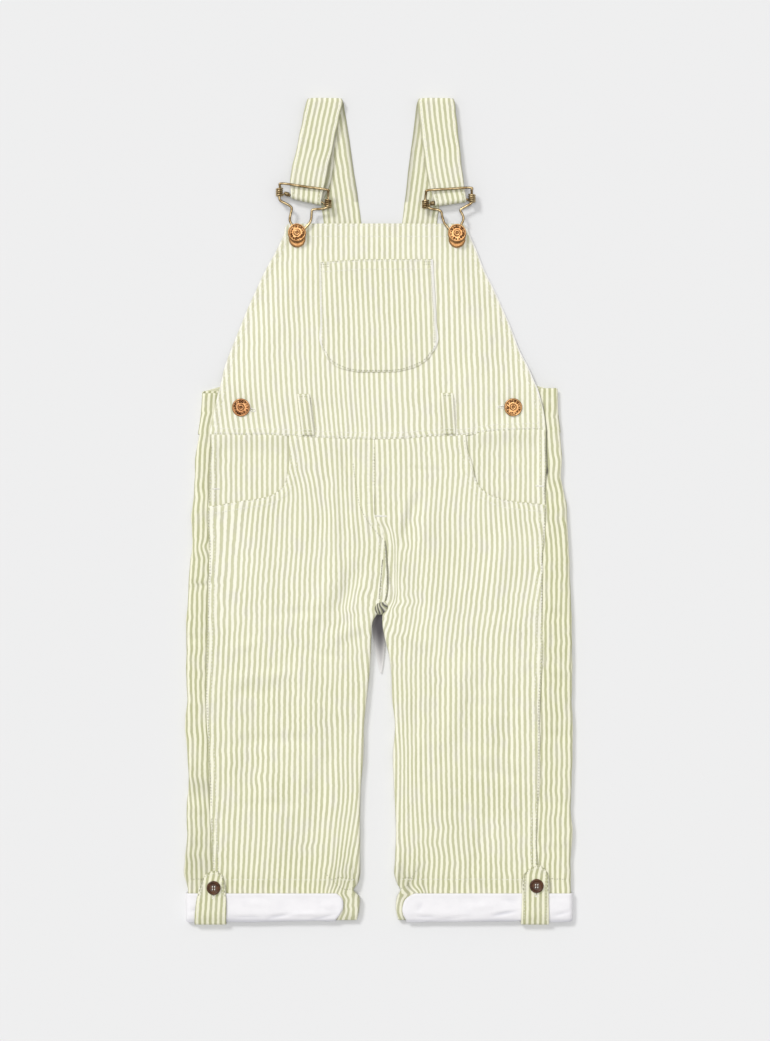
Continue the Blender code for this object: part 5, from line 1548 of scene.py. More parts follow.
def tab_height(side, x, y):
    """Outer face of a roll-up tab."""
    left, right = tab_edges(side, y)
    layer = np.clip(flow(TAB[side], y, 3), 0, 1)
    edge = np.minimum(x - left, right - x)
    relief = rolled(edge, 0.4, 1.3) - 0.2 * bell(edge - STRAP_ROW, 0.8)
    relief += 0.14 * noise(x, y, (6, 8), 121)
    return HEIGHT + LIE_GAP + WALL + layer * CUFF_STEP + relief - foot_drop(y)


def tab(side):
    """A roll-up tab: over the turn-up, round its lower edge and back inside the leg."""
    rows = TAB[side]
    ys = np.concatenate([np.linspace(rows[0][0], rows[2][0], 12), np.arange(-314, CUFF_FOLD, -1.3),
                         [CUFF_FOLD]])[:, None]
    left, right = tab_edges(side, ys)
    share = np.linspace(0, 1, 23)
    x = left + (right - left) * share
    y = ys + 0 * x
    z = tab_height(side, x, y)
    top = float(z[-1, 11])
    radius = LIP_RADIUS + LIE_GAP + WALL
    extra = []
    for out, over in half_turn(radius, 8):
        extra.append(np.stack([x[-1], np.full(len(share), CUFF_FOLD - out), z[-1] - over], axis=1))
    extra.append(np.stack([x[-1], np.full(len(share), CUFF_FOLD + TAB_TAIL),
                           np.full(len(share), top - 2 * radius)], axis=1))
    points = np.concatenate([np.stack([x, y, z], axis=2), np.array(extra)])
    stripe = (x - (left + right) / 2) / LEG_PITCH + 0.6 * wiggle(x, y, 291)
    stripe = np.concatenate([stripe, np.repeat(stripe[-1:], len(extra), axis=0)])
    run = np.concatenate([y, y[-1:] - np.arange(1, len(extra) + 1)[:, None]])
    obj = cloth(f"roll_tab_{side}", points, stripe, run, [f"tab_{side}"], deep=1.0, shade=0.03)
    return obj


# ---- sewing --------------------------------------------------------------------------------------
THREAD_SIDES = 6
THREAD_RINGS = (
    # along the stitch, height, thickness
    (-0.5, -0.3, 0.5), (-0.3, 0.04, 1.0), (0.0, 0.14, 1.05), (0.3, 0.04, 1.0), (0.5, -0.3, 0.5),
)
# both ends of the bib's buttonholes, of the slits in them (painted dark as shade), and of the bar
# tacks
BIB_HOLES = (((-112, 86.4), (-107.2, 84.6)), ((106.5, 87.4), (101.6, 87.6)))
BIB_SLITS = (((-113, 86.8), (-107.4, 84.7)), ((107, 87.5), (101.8, 87.5)))
FLY_TACK = ((-6, -5), (5.6, -5.3))
POCKET_TACKS = {"left": ((-142.6, 18.2), (-136.4, 18)), "right": ((132.6, 20.6), (139.2, 20.2))}
UP = np.array((0.0, 0.0, 1.0))


class Thread:
    """Stitches gathered up and made into one mesh."""

    def __init__(self, name, material, seed, radius=0.27):
        self.name, self.material, self.radius = name, material, radius
        self.dice = np.random.default_rng(seed)
        self.middles, self.ways, self.ups, self.lengths = [], [], [], []

    def bar(self, middle, way, length, up=UP):
        self.middles.append(middle)
        self.ways.append(way)
        self.ups.append(up)
        self.lengths.append(length)

    def row(self, path, pitch=STITCH, ups=None, fill=(0.6, 0.76)):
        """Stitches end to end along a path of points. fill is how much of it they cover."""
        path = np.asarray(path, float)
        run = np.concatenate([[0], np.cumsum(np.linalg.norm(np.diff(path, axis=0), axis=1))])
        for middle in np.arange(pitch / 2, run[-1] - pitch / 3, pitch):
            middle += self.dice.uniform(-0.08, 0.08) * pitch
            length = pitch * self.dice.uniform(*fill)
            here, low, high = (np.array([np.interp(middle + d, run, path[:, k])
                                         for k in range(3)])
                               for d in (0, -length / 2, length / 2))
            up = UP
            if ups is not None:
                up = np.array([np.interp(middle, run, ups[:, k]) for k in range(3)])
            self.bar(here, high - low, length, up)

    def tack(self, start, end, width, height, spacing=0.5):
        """A bar tack: stitches packed side by side across a short line in XY."""
        start, end = np.array(start, float), np.array(end, float)
        length = float(np.linalg.norm(end - start))
        way = (end - start) / length
        across = np.array((-way[1], way[0], 0.0))
        for k in range(int(length / spacing) + 1):
            x, y = start + way * k * spacing
            reach = width * self.dice.uniform(0.85, 1.1)
            self.bar(np.array((x, y, float(height(x, y)))), across, reach)

    def buttonhole(self, start, end, height, half=0.95):
        """Close stitches down both sides of a slit and round its end."""
        start, end = np.array(start, float), np.array(end, float)
        way = (end - start) / np.linalg.norm(end - start)
        side = np.array((-way[1], way[0]))
        for sign in (-1, 1):
            self.tack(start + sign * half * side, end + sign * half * side, 1.3, height, 0.55)
        for turn in np.linspace(-math.pi / 2, math.pi / 2, 7)[1:-1]:
            spoke = way * math.cos(turn) + side * math.sin(turn)
            x, y = end + half * spoke
            self.bar(np.array((x, y, float(height(x, y)))), np.array((*spoke, 0.0)), 1.3)

    def make(self):
        middles, ways, ups = (np.array(rows) for rows in (self.middles, self.ways, self.ups))
        ways = ways / np.linalg.norm(ways, axis=1, keepdims=True)
        sides = np.cross(ups, ways)
        sides /= np.linalg.norm(sides, axis=1, keepdims=True)
        ways = ways + sides * self.dice.uniform(-0.1, 0.1, (len(ways), 1))
        lengths = np.array(self.lengths)[:, None]
        angles = math.tau * np.arange(THREAD_SIDES) / THREAD_SIDES
        rings = []
        for along, lift, thick in THREAD_RINGS:
            centre = middles + ways * lengths * along + ups * lift * self.radius * 2
            for angle in angles:
                rings.append(centre + thick * self.radius * (sides * math.cos(angle)
                                                             + ups * math.sin(angle)))
        points = np.stack(rings, axis=1).reshape(-1, 3)
        points[:, 2] = np.maximum(points[:, 2], 0.02)
        n = THREAD_SIDES
        count = len(THREAD_RINGS) * n
        one = [[r * n + k, r * n + (k + 1) % n, r * n + n + (k + 1) % n, r * n + n + k]
               for r in range(len(THREAD_RINGS) - 1) for k in range(n)]
        one += [list(range(n))[::-1], list(range(count - n, count))]
        faces = [[v + count * k for v in face] for k in range(len(middles)) for face in one]
        return piece(mesh_object(self.name, points, faces, self.material), "stripe_cotton")


def on(height, x, y):
    """A path of points on a surface."""
    x, y = np.broadcast_arrays(np.asarray(x, float), np.asarray(y, float))
    return np.stack([x, y, height(x, y)], axis=1)


def beside(line, distance, left_hand):
    """A line in XY moved sideways by a distance."""
    line = np.asarray(line, float)[:, :2]
    way = np.gradient(line, axis=0)
    way /= np.linalg.norm(way, axis=1, keepdims=True)
    normal = np.stack([-way[:, 1], way[:, 0]], axis=1)
    return line + normal * distance * (1 if left_hand else -1)


def sew_bib():
    """The bib's rows, its two buttonholes, the slits in them painted dark as shade, and the green
    waist stitches.
    """
    pale = Thread("stitches_bib", "pale_thread", 401)
    x = np.linspace(-140, 136, 180)
    for up in WAIST_ROWS:
        pale.row(on(bib_height, x, waist_y(x) + up))
    y = np.linspace(70, BIB_TOP - 3, 120)
    for column, way in ((1, 1), (2, -1)):
        for inside in BIB_SIDE_ROWS:
            pale.row(on(bib_height, flow(BIB_SECTIONS, y, column) + way * inside, y))
    for down in BIB_TOP_ROWS:
        left, right = flows(BIB_SECTIONS, BIB_TOP - down, 1, 2)
        pale.row(on(bib_height, np.linspace(left + 3, right - 3, 80), BIB_TOP - down))
    for start, end in BIB_HOLES:
        pale.buttonhole(start, end, bib_height)
    pale.make()
    dark = Thread("slits_bib", "green_thread_and_painted_shade", 402, 0.26)
    x = np.linspace(-142, 138, 200)
    dark.row(on(bib_height, x, waist_y(x) + 0.7), BIB_PITCH, fill=(0.08, 0.28))
    # painted shade: dark thread down each slit
    for start, end in BIB_SLITS:
        dark.row(on(bib_height, *np.linspace(start, end, 9).T), 1.1)
    dark.make()


def sew_pocket():
    """The pocket's rows: pale down its sides and across, green round its foot."""
    pale = Thread("stitches_pocket", "pale_thread", 411)
    dark = Thread("stitches_pocket_foot", "green_thread_and_painted_shade", 412, 0.24)
    line = beside(POCKET_LINE, 1.6, True)
    foot = line[:, 1] < 143
    first, last = np.flatnonzero(foot)[[0, -1]]
    pale.row(on(pocket_height, *line[3:first].T))
    pale.row(on(pocket_height, *line[last:-3].T))
    dark.row(on(pocket_height, *line[foot].T), 2.4)
    dark.row(on(pocket_height, *beside(POCKET_LINE, 2.5, True)[last:-3].T), 2.0)
    for y in np.arange(142, 205, 1.7):
        x = float(flow(BIB_POCKET, y, 1)) + 1.1
        pale.bar(np.array((x, y, float(pocket_height(x, y)))), np.array((1.0, 0.1, 0.0)), 1.9)

    def along_top(thread, first, last, count, down, *pitch, **fill):
        x = np.linspace(first, last, count)
        y = pocket_edge(x, POCKET_TOP - down, BIB_POCKET[0][1])
        thread.row(on(pocket_height, x, y), *pitch, **fill)

    for down in POCKET_TOP_ROWS:
        along_top(pale, -49.5, 43.5, 60, down)
    along_top(dark, -51.0, 44.6, 80, 0.6, BIB_PITCH, fill=(0.25, 0.5))
    for first, last in ((-50.8, -43.4), (36.8, 44.2)):
        for down in (2.4, 4.4):
            along_top(dark, first, last, 12, down, 1.9)
    pale.make()
    dark.make()


def down_seam(side, thread, height, y, insides, *pitch, **fill):
    """Rows of stitches beside the side seam, on the front leg or on the pocket's facing."""
    for inside in insides:
        x = side_seam(side, y) - SIGN[side] * inside
        thread.row(on(partial(height, side), x, y), *pitch, **fill)


def hem_ends(side):
    """x of a front leg's inner and outer edge at the hem's stitches."""
    return flows(LEG_SECTIONS[side], HEM_Y, 3, 2)


def sew_leg(side):
    """A leg's pale rows: scoop, side seam, hem, centre seam and bar tacks."""
    sign = SIGN[side]
    height = partial(front_leg_height, side)
    thread = Thread(f"stitches_leg_{side}", "pale_thread", 421 + sign)
    line = SCOOP_LINE[side]
    foot = float(line[-1, 1])
    for away in SCOOP_ROWS:
        moved = beside(line, away, side == "left")
        x, y = moved.T
        short_of_seam = np.abs(x) < np.abs(flow(LEG_SECTIONS[side], y, 2)) - 1.5
        thread.row(on(height, *moved[short_of_seam & (y < waist_y(x) - 1)].T))
    down_seam(side, thread, front_leg_height, np.linspace(foot - 3, CUFF_TOP + 1, 230), SIDE_ROWS)
    down_seam(side, thread, facing_height, np.linspace(62, foot + 2, 40), SIDE_ROWS)
    inner, outer = hem_ends(side)
    x = np.linspace(inner + sign * 4, outer - sign * 7, 90)
    thread.row(on(height, x, HEM_Y + 0.5 * noise(x, 0 * x, (30, 9), 423)))
    if side == "left":
        y = np.linspace(57, -76, 110)
        for inside in CENTRE_ROWS:
            thread.row(on(height, centre_seam(y) - inside, y))
        thread.tack(*FLY_TACK, 1.9, height)
    else:
        y = np.linspace(-56, -78, 24)
        thread.row(on(height, centre_seam(y) + 1.6, y), 2.2)
    thread.tack(*POCKET_TACKS[side], 1.7, partial(facing_height, side))
    thread.make()


def sew_fly_crease_shadow():
    """Painted shadow: dark thread along the creases beside the centre seam, from the fly's foot
    down to the knot.
    """
    height = partial(front_leg_height, "left")
    crease_shadow = Thread("fly_crease_shadow", "green_thread_and_painted_shade", 430, 0.42)
    y = np.linspace(-42, -76, 40)
    crease_shadow.row(on(height, 2.2 + 0.09 * (y + 42), y), 1.4, fill=(0.8, 1.2))
    y = np.linspace(-26, -78, 70)
    for inside in (0.2, 0.9):
        crease_shadow.row(on(height, centre_seam(y) - inside, y), 1.2, fill=(1.0, 1.3))
    crease_shadow.make()


def sew_leg_dark(side):
    """Green stitches that show as dark specks along a leg's seams, scoop and hem, and painted shade
    in the fold along the hem's gather.
    """
    sign = SIGN[side]
    height = partial(front_leg_height, side)
    thread = Thread(f"dark_stitches_leg_{side}", "green_thread_and_painted_shade", 424 + sign, 0.24)
    foot = float(SCOOP_LINE[side][-1, 1])
    down_seam(side, thread, front_leg_height, np.linspace(foot - 1, -252, 150), (0.8,), 2.5,
              fill=(0.35, 0.6))
    down_seam(side, thread, front_leg_height, np.linspace(-262, CUFF_TOP + 14, 40), (0.8, 4.4),
              2.2, fill=(0.4, 0.7))
    inner, _ = hem_ends(side)
    x = np.linspace(inner + sign * 3, inner + sign * 24, 30)
    thread.row(on(height, x, HEM_Y + 0.8 + 0.8 * np.sin(x / 3)), 2.4, fill=(0.3, 0.7))
    down_seam(side, thread, facing_height, np.linspace(54, foot + 1, 40), (0.7,), 2.3,
              fill=(0.35, 0.7))
    scoop = beside(SCOOP_LINE[side], 0.45, side == "left")
    thread.row(on(height, *scoop[scoop[:, 1] < foot + 26].T), 3.4, fill=(0.2, 0.5))
    # painted shade: dark dashes along the fold where the hem is gathered
    thread.row(on(height, *spline(HEM_GATHER[side], 8).T), 2.4, fill=(0.3, 0.65))
    if side == "left":
        y = np.linspace(54, 2, 40)
        thread.row(on(height, centre_seam(y) - 0.3, y), 2.6, fill=(0.2, 0.6))
        thread.row(on(height, *spline(FLY_CURVE, 10).T), 2.2, fill=(0.4, 0.75))
    thread.make()


def sew_hem_strip(side):
    """The hem's dark row across the back leg's side strip."""
    sign = SIGN[side]
    thread = Thread(f"hem_strip_{side}", "green_thread_and_painted_shade", 427 + sign, 0.24)
    y = HEM_Y + 0.4
    fold, seam = flows(LEG_SECTIONS[side], y, 1, 2)
    x = np.linspace(seam + sign * 2.5, fold - sign * 4.5, 30)
    level = HEIGHT + wrap_relief(x, np.full(30, y)) + 0.05
    thread.row(np.stack([x, y + 0.3 * np.sin(x), level], axis=1), 2.2, fill=(0.4, 0.75))
    thread.make()


def sew_loop(side):
    """A belt loop's rows, its bar tacks, and the painted shadow, in dark thread, beside the left
    one.
    """
    pale = Thread(f"stitches_loop_{side}", "pale_thread", 431 + SIGN[side])
    top_x, top_y, foot_x, foot_y = BELT_LOOPS[side]
    t = np.linspace(0.03, 0.97, 24)
    for share in (-0.33, 0.33):
        pale.row(np.stack(loop_shape(side, t, share), axis=1), 2.6)
    across = np.linspace(-0.42, 0.42, 9)
    for t in (0.035, 0.1, 0.86, 0.93):
        pale.row(np.stack(loop_shape(side, t, across), axis=1), 1.7)
    for way in (-1, 1):
        x = np.linspace(foot_x + way * 5.9, foot_x + way * 8.6, 5)
        for up in (3.0, 6.6):
            pale.row(on(bib_height, x, foot_y + up), 1.5)
    pale.make()
    dark = Thread(f"tacks_loop_{side}", "green_thread_and_painted_shade", 434 + SIGN[side], 0.22)
    for t in (0.07, 0.895):
        dark.row(np.stack(loop_shape(side, t, across), axis=1), 2.1)
    if side == "left":
        # painted shadow: dark thread in the gap along the left loop's right edge
        y = np.linspace(top_y - 3, top_y - 17, 20)
        gap = on(bib_height, top_x + LOOP_WIDTH / 2 + 0.5 + 0.06 * (top_y - y), y)
        dark.row(gap, 1.4, fill=(0.8, 1.2))
    dark.make()


def sew_strap(side):
    """A row down each side of a strap, where it faces up."""
    points, seat, _, normal = strap_points(side)
    up = normal[:, 10, 2] > 0.25
    first = np.flatnonzero(up)[0]
    last = first + np.flatnonzero(np.diff(up[first:].astype(int)) < 0)[0]
    pale = Thread(f"stitches_strap_{side}", "pale_thread", 441 + SIGN[side])
    for from_left, column in ((True, 2), (False, -3)):
        path = []
        for row in range(first, last):
            place = STRAP_ROW if from_left else seat[row, -1] - STRAP_ROW
            path.append([np.interp(place, seat[row], points[row, :, k]) for k in range(3)])
        pale.row(np.array(path), ups=normal[first:last, column])
    pale.make()


def sew_tab(side):
    """A tab's rows, its buttonhole, and the thread in its button."""
    height = partial(tab_height, side)
    pale = Thread(f"stitches_tab_{side}", "pale_thread", 451 + SIGN[side])
    (top, tip_left, tip_right, _), x, button_y = TAB[side][0], *TAB_BUTTONS[side]
    for k, way in ((0, 1), (1, -1)):
        y = np.linspace(top - 4.5, CUFF_FOLD + 1, 40)
        pale.row(on(height, tab_edges(side, y)[k] + way * STRAP_ROW, y), 2.6)
    left, right = tab_edges(side, top - 4.5)
    arch = np.array(((left + STRAP_ROW, top - 4.5), ((tip_left + tip_right) / 2, top - 2.2),
                     (right - STRAP_ROW, top - 4.5)))
    pale.row(on(height, *arch.T), 2.2)
    pale.buttonhole((x, button_y - 3.5), (x - 0.3, button_y - 8.3), height)
    pale.make()
    low, _ = node_heights(f"tab_button_{side}")
    sewn = Thread(f"button_thread_{side}", "pale_thread", 457 + SIGN[side], 0.42)
    for up in (-1.1, 1.1):
        for across in (-TAB_HOLE[0], TAB_HOLE[0]):
            sewn.bar(np.array((x + across, button_y + up, low + 1.6)), np.array((0.1, 1.0, 0.0)),
                     1.5)
    sewn.make()
    dark = Thread(f"slit_tab_{side}", "green_thread_and_painted_shade", 454 + SIGN[side], 0.3)
    # painted shade: dark thread down the buttonhole's slit
    slit = np.linspace(button_y - 4, button_y - 8, 6)
    dark.row(on(height, np.full(6, x - 0.2), slit), 1.1)
    for k, way in ((0, 1), (1, -1)):
        y = np.linspace(top - 6, top - 24, 20)
        dark.row(on(height, tab_edges(side, y)[k] + way * 0.9, y), 3.4)
    rise = np.linspace(top - 9, top - 0.9, 14)
    y = np.concatenate([rise, rise[::-1]])
    left, right = tab_edges(side, y)
    point = np.where(np.arange(len(y)) < len(rise), left + 0.8, right - 0.8)
    dark.row(on(height, point, y), 1.9, fill=(0.3, 0.6))
    dark.make()


# ---- materials -----------------------------------------------------------------------------------
LIGHT_YARN = (0.965, 0.945, 0.80, 1)
CREAM_YARN = (0.915, 0.895, 0.69, 1)    # creamier, as on the side strips, where it stands partly for painted shade
LILAC_YARN = (0.86, 0.82, 0.81, 1)
PALE_YARN = (0.93, 0.91, 0.90, 1)
GREEN_YARN = (0.665, 0.66, 0.445, 1)    # pale, as on the bib
DEEP_GREEN = (0.48, 0.485, 0.265, 1)    # dark, as on the side strips, where it stands partly for painted shade
GREY_GREEN = (0.60, 0.575, 0.475, 1)
YARN_FLECK = (0.36, 0.35, 0.28, 1)
# painted shade: the near-black that the shade attribute mixes into the cloth's colour
CREASE_SHADE = (0.085, 0.078, 0.085, 1)
LINING = (0.89, 0.875, 0.89, 1)
LINING_CLOUD = (0.85, 0.835, 0.855, 1)
# painted shade in the turn-ups' wrinkles and along their lower edge
LINING_SHADE = (0.56, 0.56, 0.61, 1)
LINING_FLECK = (0.60, 0.58, 0.60, 1)
BUTTON_BROWN = (0.045, 0.016, 0.006, 1)
BUTTON_SWIRL = (0.115, 0.046, 0.017, 1)
BUTTON_HOLE_SHADE = (0.012, 0.007, 0.005, 1)
FLOOR_GREYS = ((0.773, 0.773, 0.775, 1), (0.78, 0.78, 0.782, 1))
METALS = {
    # bright, dull, dark (patina in hollows, marks, painted shade on undersides), roughness, how
    # many patches to a metre
    "brass_wire": ((0.52, 0.40, 0.225, 1), (0.25, 0.165, 0.075, 1), (0.04, 0.024, 0.012, 1),
                   0.27, 220.0),
    "copper": ((0.56, 0.31, 0.135, 1), (0.42, 0.21, 0.08, 1), (0.07, 0.025, 0.008, 1),
               0.32, 300.0),
    "red_copper": ((0.60, 0.31, 0.14, 1), (0.44, 0.20, 0.085, 1), (0.06, 0.02, 0.008, 1),
                   0.32, 300.0),
}
THREADS = {
    # lighter, darker
    "pale_thread": ((0.92, 0.91, 0.84, 1), (0.74, 0.72, 0.64, 1)),
    # its dark rows are partly real green stitches, partly painted shade in slits, gaps, creases and
    # folds
    "green_thread_and_painted_shade": ((0.42, 0.42, 0.28, 1), (0.25, 0.24, 0.18, 1)),
}
WARP = math.tau * 9         # threads of the weave across one stripe, as an angle
WEFT = math.tau / 0.5       # and along it, one every half millimetre


class Nodes:
    """A material's node tree, built call by call. MATERIALS holds the material by its name."""

    def __init__(self, name, roughness, metallic=0.0, sheen=0.0):
        material = bpy.data.materials.new(name)
        material.use_nodes = True
        MATERIALS[name] = material
        self.tree = material.node_tree
        self.shader = self.tree.nodes["Principled BSDF"]
        self.shader.inputs["Roughness"].default_value = roughness
        self.shader.inputs["Metallic"].default_value = metallic
        self.shader.inputs["Sheen Weight"].default_value = sheen

    def put(self, kind, inputs, **settings):
        node = self.tree.nodes.new(kind)
        for key, value in settings.items():
            setattr(node, key, value)
        for key, value in inputs.items():
            if isinstance(value, bpy.types.NodeSocket):
                self.tree.links.new(value, node.inputs[key])
            else:
                node.inputs[key].default_value = value
        return node

    def calc(self, operation, a, b=0.0, c=0.0):
        return self.put("ShaderNodeMath", {0: a, 1: b, 2: c}, operation=operation).outputs[0]

    def times(self, a, b):
        return self.calc("MULTIPLY", a, b)

    def plus(self, a, b):
        return self.calc("ADD", a, b)

    def strayed(self, value, pattern, share):
        """A value moved up or down by a share of a noise pattern."""
        return self.plus(value, self.times(self.calc("SUBTRACT", pattern, 0.5), share))

    def attribute(self, name):
        return self.put("ShaderNodeAttribute", {}, attribute_name=name).outputs["Fac"]

    def where(self):
        return self.put("ShaderNodeTexCoord", {}).outputs["Object"]

    def place(self, x, y):
        return self.put("ShaderNodeCombineXYZ", {0: x, 1: y, 2: 0.0}).outputs[0]

    def noise(self, where, scale, detail=2.0, roughness=0.5):
        return self.put("ShaderNodeTexNoise", {"Vector": where, "Scale": scale, "Detail": detail,
                                               "Roughness": roughness}).outputs["Fac"]

    def span(self, value, low, high, out_low=0.0, out_high=1.0, smooth=True):
        return self.put("ShaderNodeMapRange",
                        {0: value, 1: low, 2: high, 3: out_low, 4: out_high},
                        interpolation_type="SMOOTHSTEP" if smooth else "LINEAR").outputs[0]

    def mix(self, share, a, b):
        return self.put("ShaderNodeMix", {0: share, 6: a, 7: b}, data_type="RGBA",
                        blend_type="MIX").outputs[2]

    def bump(self, height, strength, distance):
        node = self.put("ShaderNodeBump", {"Height": height, "Strength": strength,
                                           "Distance": distance})
        self.tree.links.new(node.outputs[0], self.shader.inputs["Normal"])

    def weave(self, stripe, run, *extras):
        """Bump where warp and weft cross, with finer relief laid on it."""
        height = self.times(self.calc("SINE", self.times(stripe, WARP)),
                            self.calc("SINE", self.times(run, WEFT)))
        for pattern, strength in extras:
            height = self.plus(height, self.times(pattern, strength))
        self.bump(height, 0.35, 0.00012)

    def colour(self, value):
        self.tree.links.new(value, self.shader.inputs["Base Color"])

    def rough(self, value):
        self.tree.links.new(value, self.shader.inputs["Roughness"])


def striped_cotton():
    """Yarn-dyed stripes. Whole numbers of the stripe attribute lie in the middle of the green."""
    m = Nodes("stripe_cotton", 0.88, sheen=0.1)
    stripe, run, pale, deep, shade = map(m.attribute, ("stripe", "run", "pale", "deep", "shade"))
    yarn = m.place(m.times(stripe, BIB_PITCH), run)
    slub = m.noise(m.place(m.times(stripe, 10.0), m.times(run, 0.12)), 1.0, 3.0)
    wobble = m.noise(m.place(m.times(stripe, 0.8), m.times(run, 0.3)), 1.0, 2.0)
    tone = m.noise(m.place(m.calc("FLOOR", m.plus(stripe, 0.5)), m.times(run, 0.03)), 1.7, 1.0)
    wash = m.noise(yarn, 0.035, 3.0, 0.6)
    fleck = m.noise(yarn, 1.6, 4.0, 0.7)
    light = m.mix(m.span(deep, 0.15, 1.0, smooth=False), LIGHT_YARN, CREAM_YARN)
    light = m.mix(m.span(tone, 0.5, 0.8, 0.0, 0.3), light, LILAC_YARN)
    depth = m.strayed(deep, wash, 0.9)
    green = m.mix(m.span(depth, 0.0, 1.0, smooth=False), GREEN_YARN, DEEP_GREEN)
    green = m.mix(m.span(slub, 0.4, 0.75, 0.0, 0.45), green, GREEN_YARN)
    green = m.mix(m.span(tone, 0.45, 0.75, 0.0, 0.5), green, GREY_GREEN)
    from_light = m.calc("FRACT", m.strayed(stripe, wobble, 0.16))
    in_green = m.span(m.calc("ABSOLUTE", m.calc("SUBTRACT", from_light, 0.5)), 0.185, 0.315)
    colour = m.mix(pale, m.mix(in_green, light, green), PALE_YARN)
    colour = m.mix(m.span(fleck, 0.3, 0.7, 0.10, 0.0), colour, YARN_FLECK)
    # painted shade: the colour darkened towards a near-black by the shade attribute
    m.colour(m.mix(shade, colour, CREASE_SHADE))
    m.weave(stripe, run, (fleck, 2.0), (slub, 1.5))
    m.rough(m.span(fleck, 0.2, 0.8, 0.8, 0.95))


def lining():
    """The cloth's pale reverse."""
    m = Nodes("lining", 0.9, sheen=0.15)
    stripe, run = m.attribute("stripe"), m.attribute("run")
    yarn = m.place(m.times(stripe, LEG_PITCH), run)
    cloud = m.noise(yarn, 0.09, 2.0)
    fleck = m.noise(yarn, 1.8, 4.0, 0.7)
    colour = m.mix(m.span(cloud, 0.35, 0.75), LINING, LINING_CLOUD)
    # painted shade, towards grey-blue, from the shade attribute
    colour = m.mix(m.span(m.attribute("shade"), 0.05, 1.0, 0.0, 0.8), colour, LINING_SHADE)
    m.colour(m.mix(m.span(fleck, 0.3, 0.8, 0.08, 0.0), colour, LINING_FLECK))
    m.weave(stripe, run, (fleck, 2.5))
    m.rough(m.span(fleck, 0.2, 0.8, 0.84, 0.96))


def metal(name, bright, dull, dark, roughness, grain):
    """Worn metal: bright where it is rubbed, dull patches, and dark where its points say: patina in
    hollows, marks, and painted shade on undersides.
    """
    m = Nodes(name, roughness, metallic=1.0)
    where = m.where()
    patch = m.noise(where, grain, 3.0)
    fine = m.noise(where, grain * 9, 3.0, 0.65)
    colour = m.mix(m.span(patch, 0.4, 0.65), bright, dull)
    colour = m.mix(m.span(fine, 0.55, 0.8, 0.0, 0.4), colour, dark)
    # dark where the points say: patina and marks, and painted shade on the wire's and buttons'
    # undersides
    m.colour(m.mix(m.attribute("marks_patina_and_shade"), colour, dark))
    m.rough(m.span(fine, 0.3, 0.7, roughness - 0.08, roughness + 0.16))
    m.bump(fine, 0.35, 0.0001)


def brown_button():
    """Dark swirled plastic, for the tabs' buttons."""
    m = Nodes("brown_button", 0.42)
    m.shader.inputs["Specular IOR Level"].default_value = 0.3
    swirl = m.noise(m.where(), 260.0, 4.0, 0.7)
    colour = m.mix(m.span(swirl, 0.35, 0.7), BUTTON_BROWN, BUTTON_SWIRL)
    # painted shade in the button's holes
    m.colour(m.mix(m.attribute("marks_patina_and_shade"), colour, BUTTON_HOLE_SHADE))
    m.rough(m.span(swirl, 0.3, 0.7, 0.35, 0.5))
    m.bump(swirl, 0.15, 0.0001)


def thread_material(name, light, dark):
    m = Nodes(name, 0.7, sheen=0.2)
    fibre = m.noise(m.where(), 1500.0, 3.0, 0.7)
    m.colour(m.mix(m.span(fibre, 0.3, 0.75), dark, light))
    m.bump(fibre, 0.3, 0.00005)


def floor_material():
    m = Nodes("floor", 0.95)
    m.colour(m.mix(m.noise(m.where(), 2.0, 2.0), *FLOOR_GREYS))


# ---- light, floor and camera ---------------------------------------------------------------------
WORLD_LIGHT = 0.46
KEY_LIGHT = 1.45
KEY_ELEVATION = 42.0
KEY_SIDE = 128.0        # direction it comes from, anticlockwise from +X
KEY_SOFTNESS = 14.0
TOP_LIGHT = 1.06
TOP_ELEVATION = 88.0
TOP_SIDE = 90.0
TOP_SOFTNESS = 30.0
FLOOR_HALF = 3000       # from the floor's middle to its edges, in millimetres
FLOOR_Z = -0.02
LENS = 85.0
SENSOR = 36.0
CAMERA = (0.00425, -0.0089, 2.096)      # in metres, looking straight down


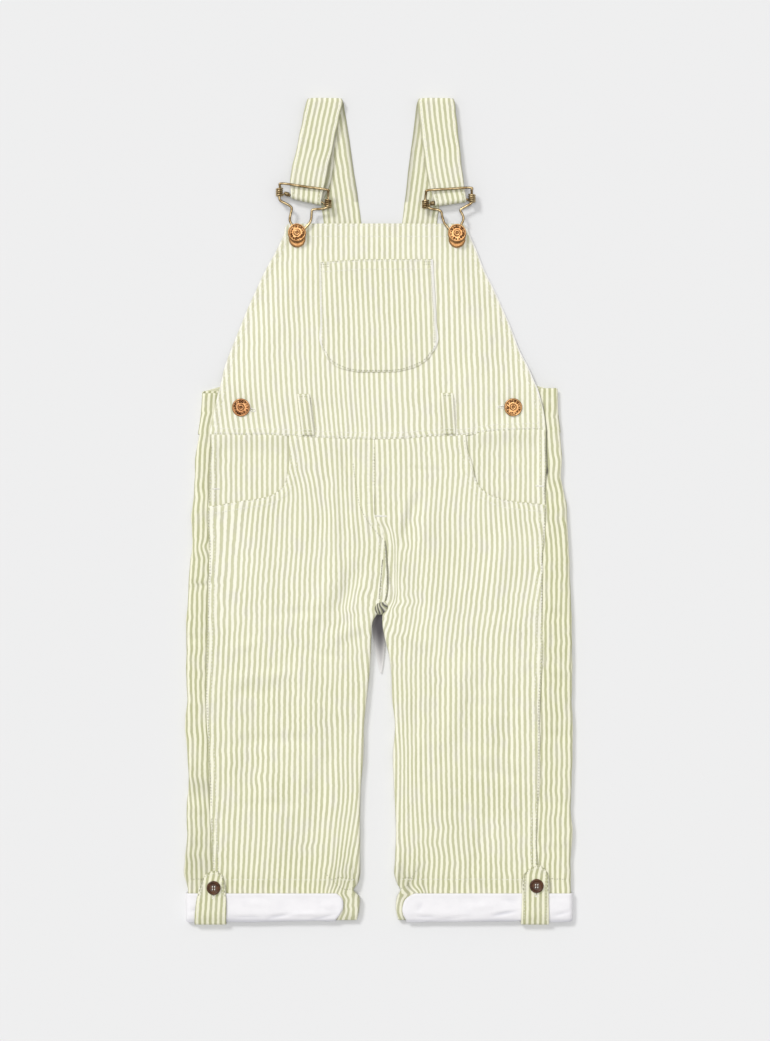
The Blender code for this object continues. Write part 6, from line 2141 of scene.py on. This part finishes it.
def lamp(name, energy, softness, elevation, side):
    """A distant soft light from a direction given in degrees."""
    sun = bpy.data.lights.new(name, "SUN")
    sun.energy = energy
    sun.angle = math.radians(softness)
    obj = bpy.data.objects.new(name, sun)
    bpy.context.scene.collection.objects.link(obj)
    rise, turn = math.radians(elevation), math.radians(side)
    towards = Vector((math.cos(rise) * math.cos(turn), math.cos(rise) * math.sin(turn),
                      math.sin(rise)))
    obj.rotation_euler = towards.to_track_quat("Z", "Y").to_euler()


def studio():
    """White world, two soft lamps, a pale floor and the camera."""
    scene = bpy.context.scene
    scene.view_settings.view_transform = "Standard"
    world = bpy.data.worlds.new("studio")
    world.use_nodes = True
    background = world.node_tree.nodes["Background"]
    background.inputs["Color"].default_value = (1.0, 1.0, 1.0, 1.0)
    background.inputs["Strength"].default_value = WORLD_LIGHT
    scene.world = world
    lamp("key", KEY_LIGHT, KEY_SOFTNESS, KEY_ELEVATION, KEY_SIDE)
    lamp("top", TOP_LIGHT, TOP_SOFTNESS, TOP_ELEVATION, TOP_SIDE)
    corners = [(x * FLOOR_HALF, y * FLOOR_HALF, FLOOR_Z)
               for x, y in ((-1, -1), (1, -1), (1, 1), (-1, 1))]
    floor = mesh_object("floor", corners, [(0, 1, 2, 3)], "floor")
    camera = bpy.data.cameras.new("camera")
    camera.lens = LENS
    camera.sensor_width = SENSOR
    camera.clip_end = 20
    view = bpy.data.objects.new("camera", camera)
    view.location = CAMERA
    scene.collection.objects.link(view)
    scene.camera = view


# ---- the garment ---------------------------------------------------------------------------------
striped_cotton()
lining()
for name, look in METALS.items():
    metal(name, *look)
brown_button()
for name, tones in THREADS.items():
    thread_material(name, *tones)
floor_material()

studio()
front_bib()
back_bib()
bib_pocket()
crotch_knot_and_shadow_sheet()
buttons()
sew_bib()
sew_pocket()
for side in SIGN:
    front_leg(side)
    back_leg(side)
    pocket_facing(side)
    belt_loop(side)
    strap(side)
    buckle(side)
    cuff(side)
    tab(side)
    sew_leg(side)
    if side == "left":
        sew_fly_crease_shadow()
    sew_leg_dark(side)
    sew_hem_strip(side)
    sew_loop(side)
    sew_strap(side)
    sew_tab(side)
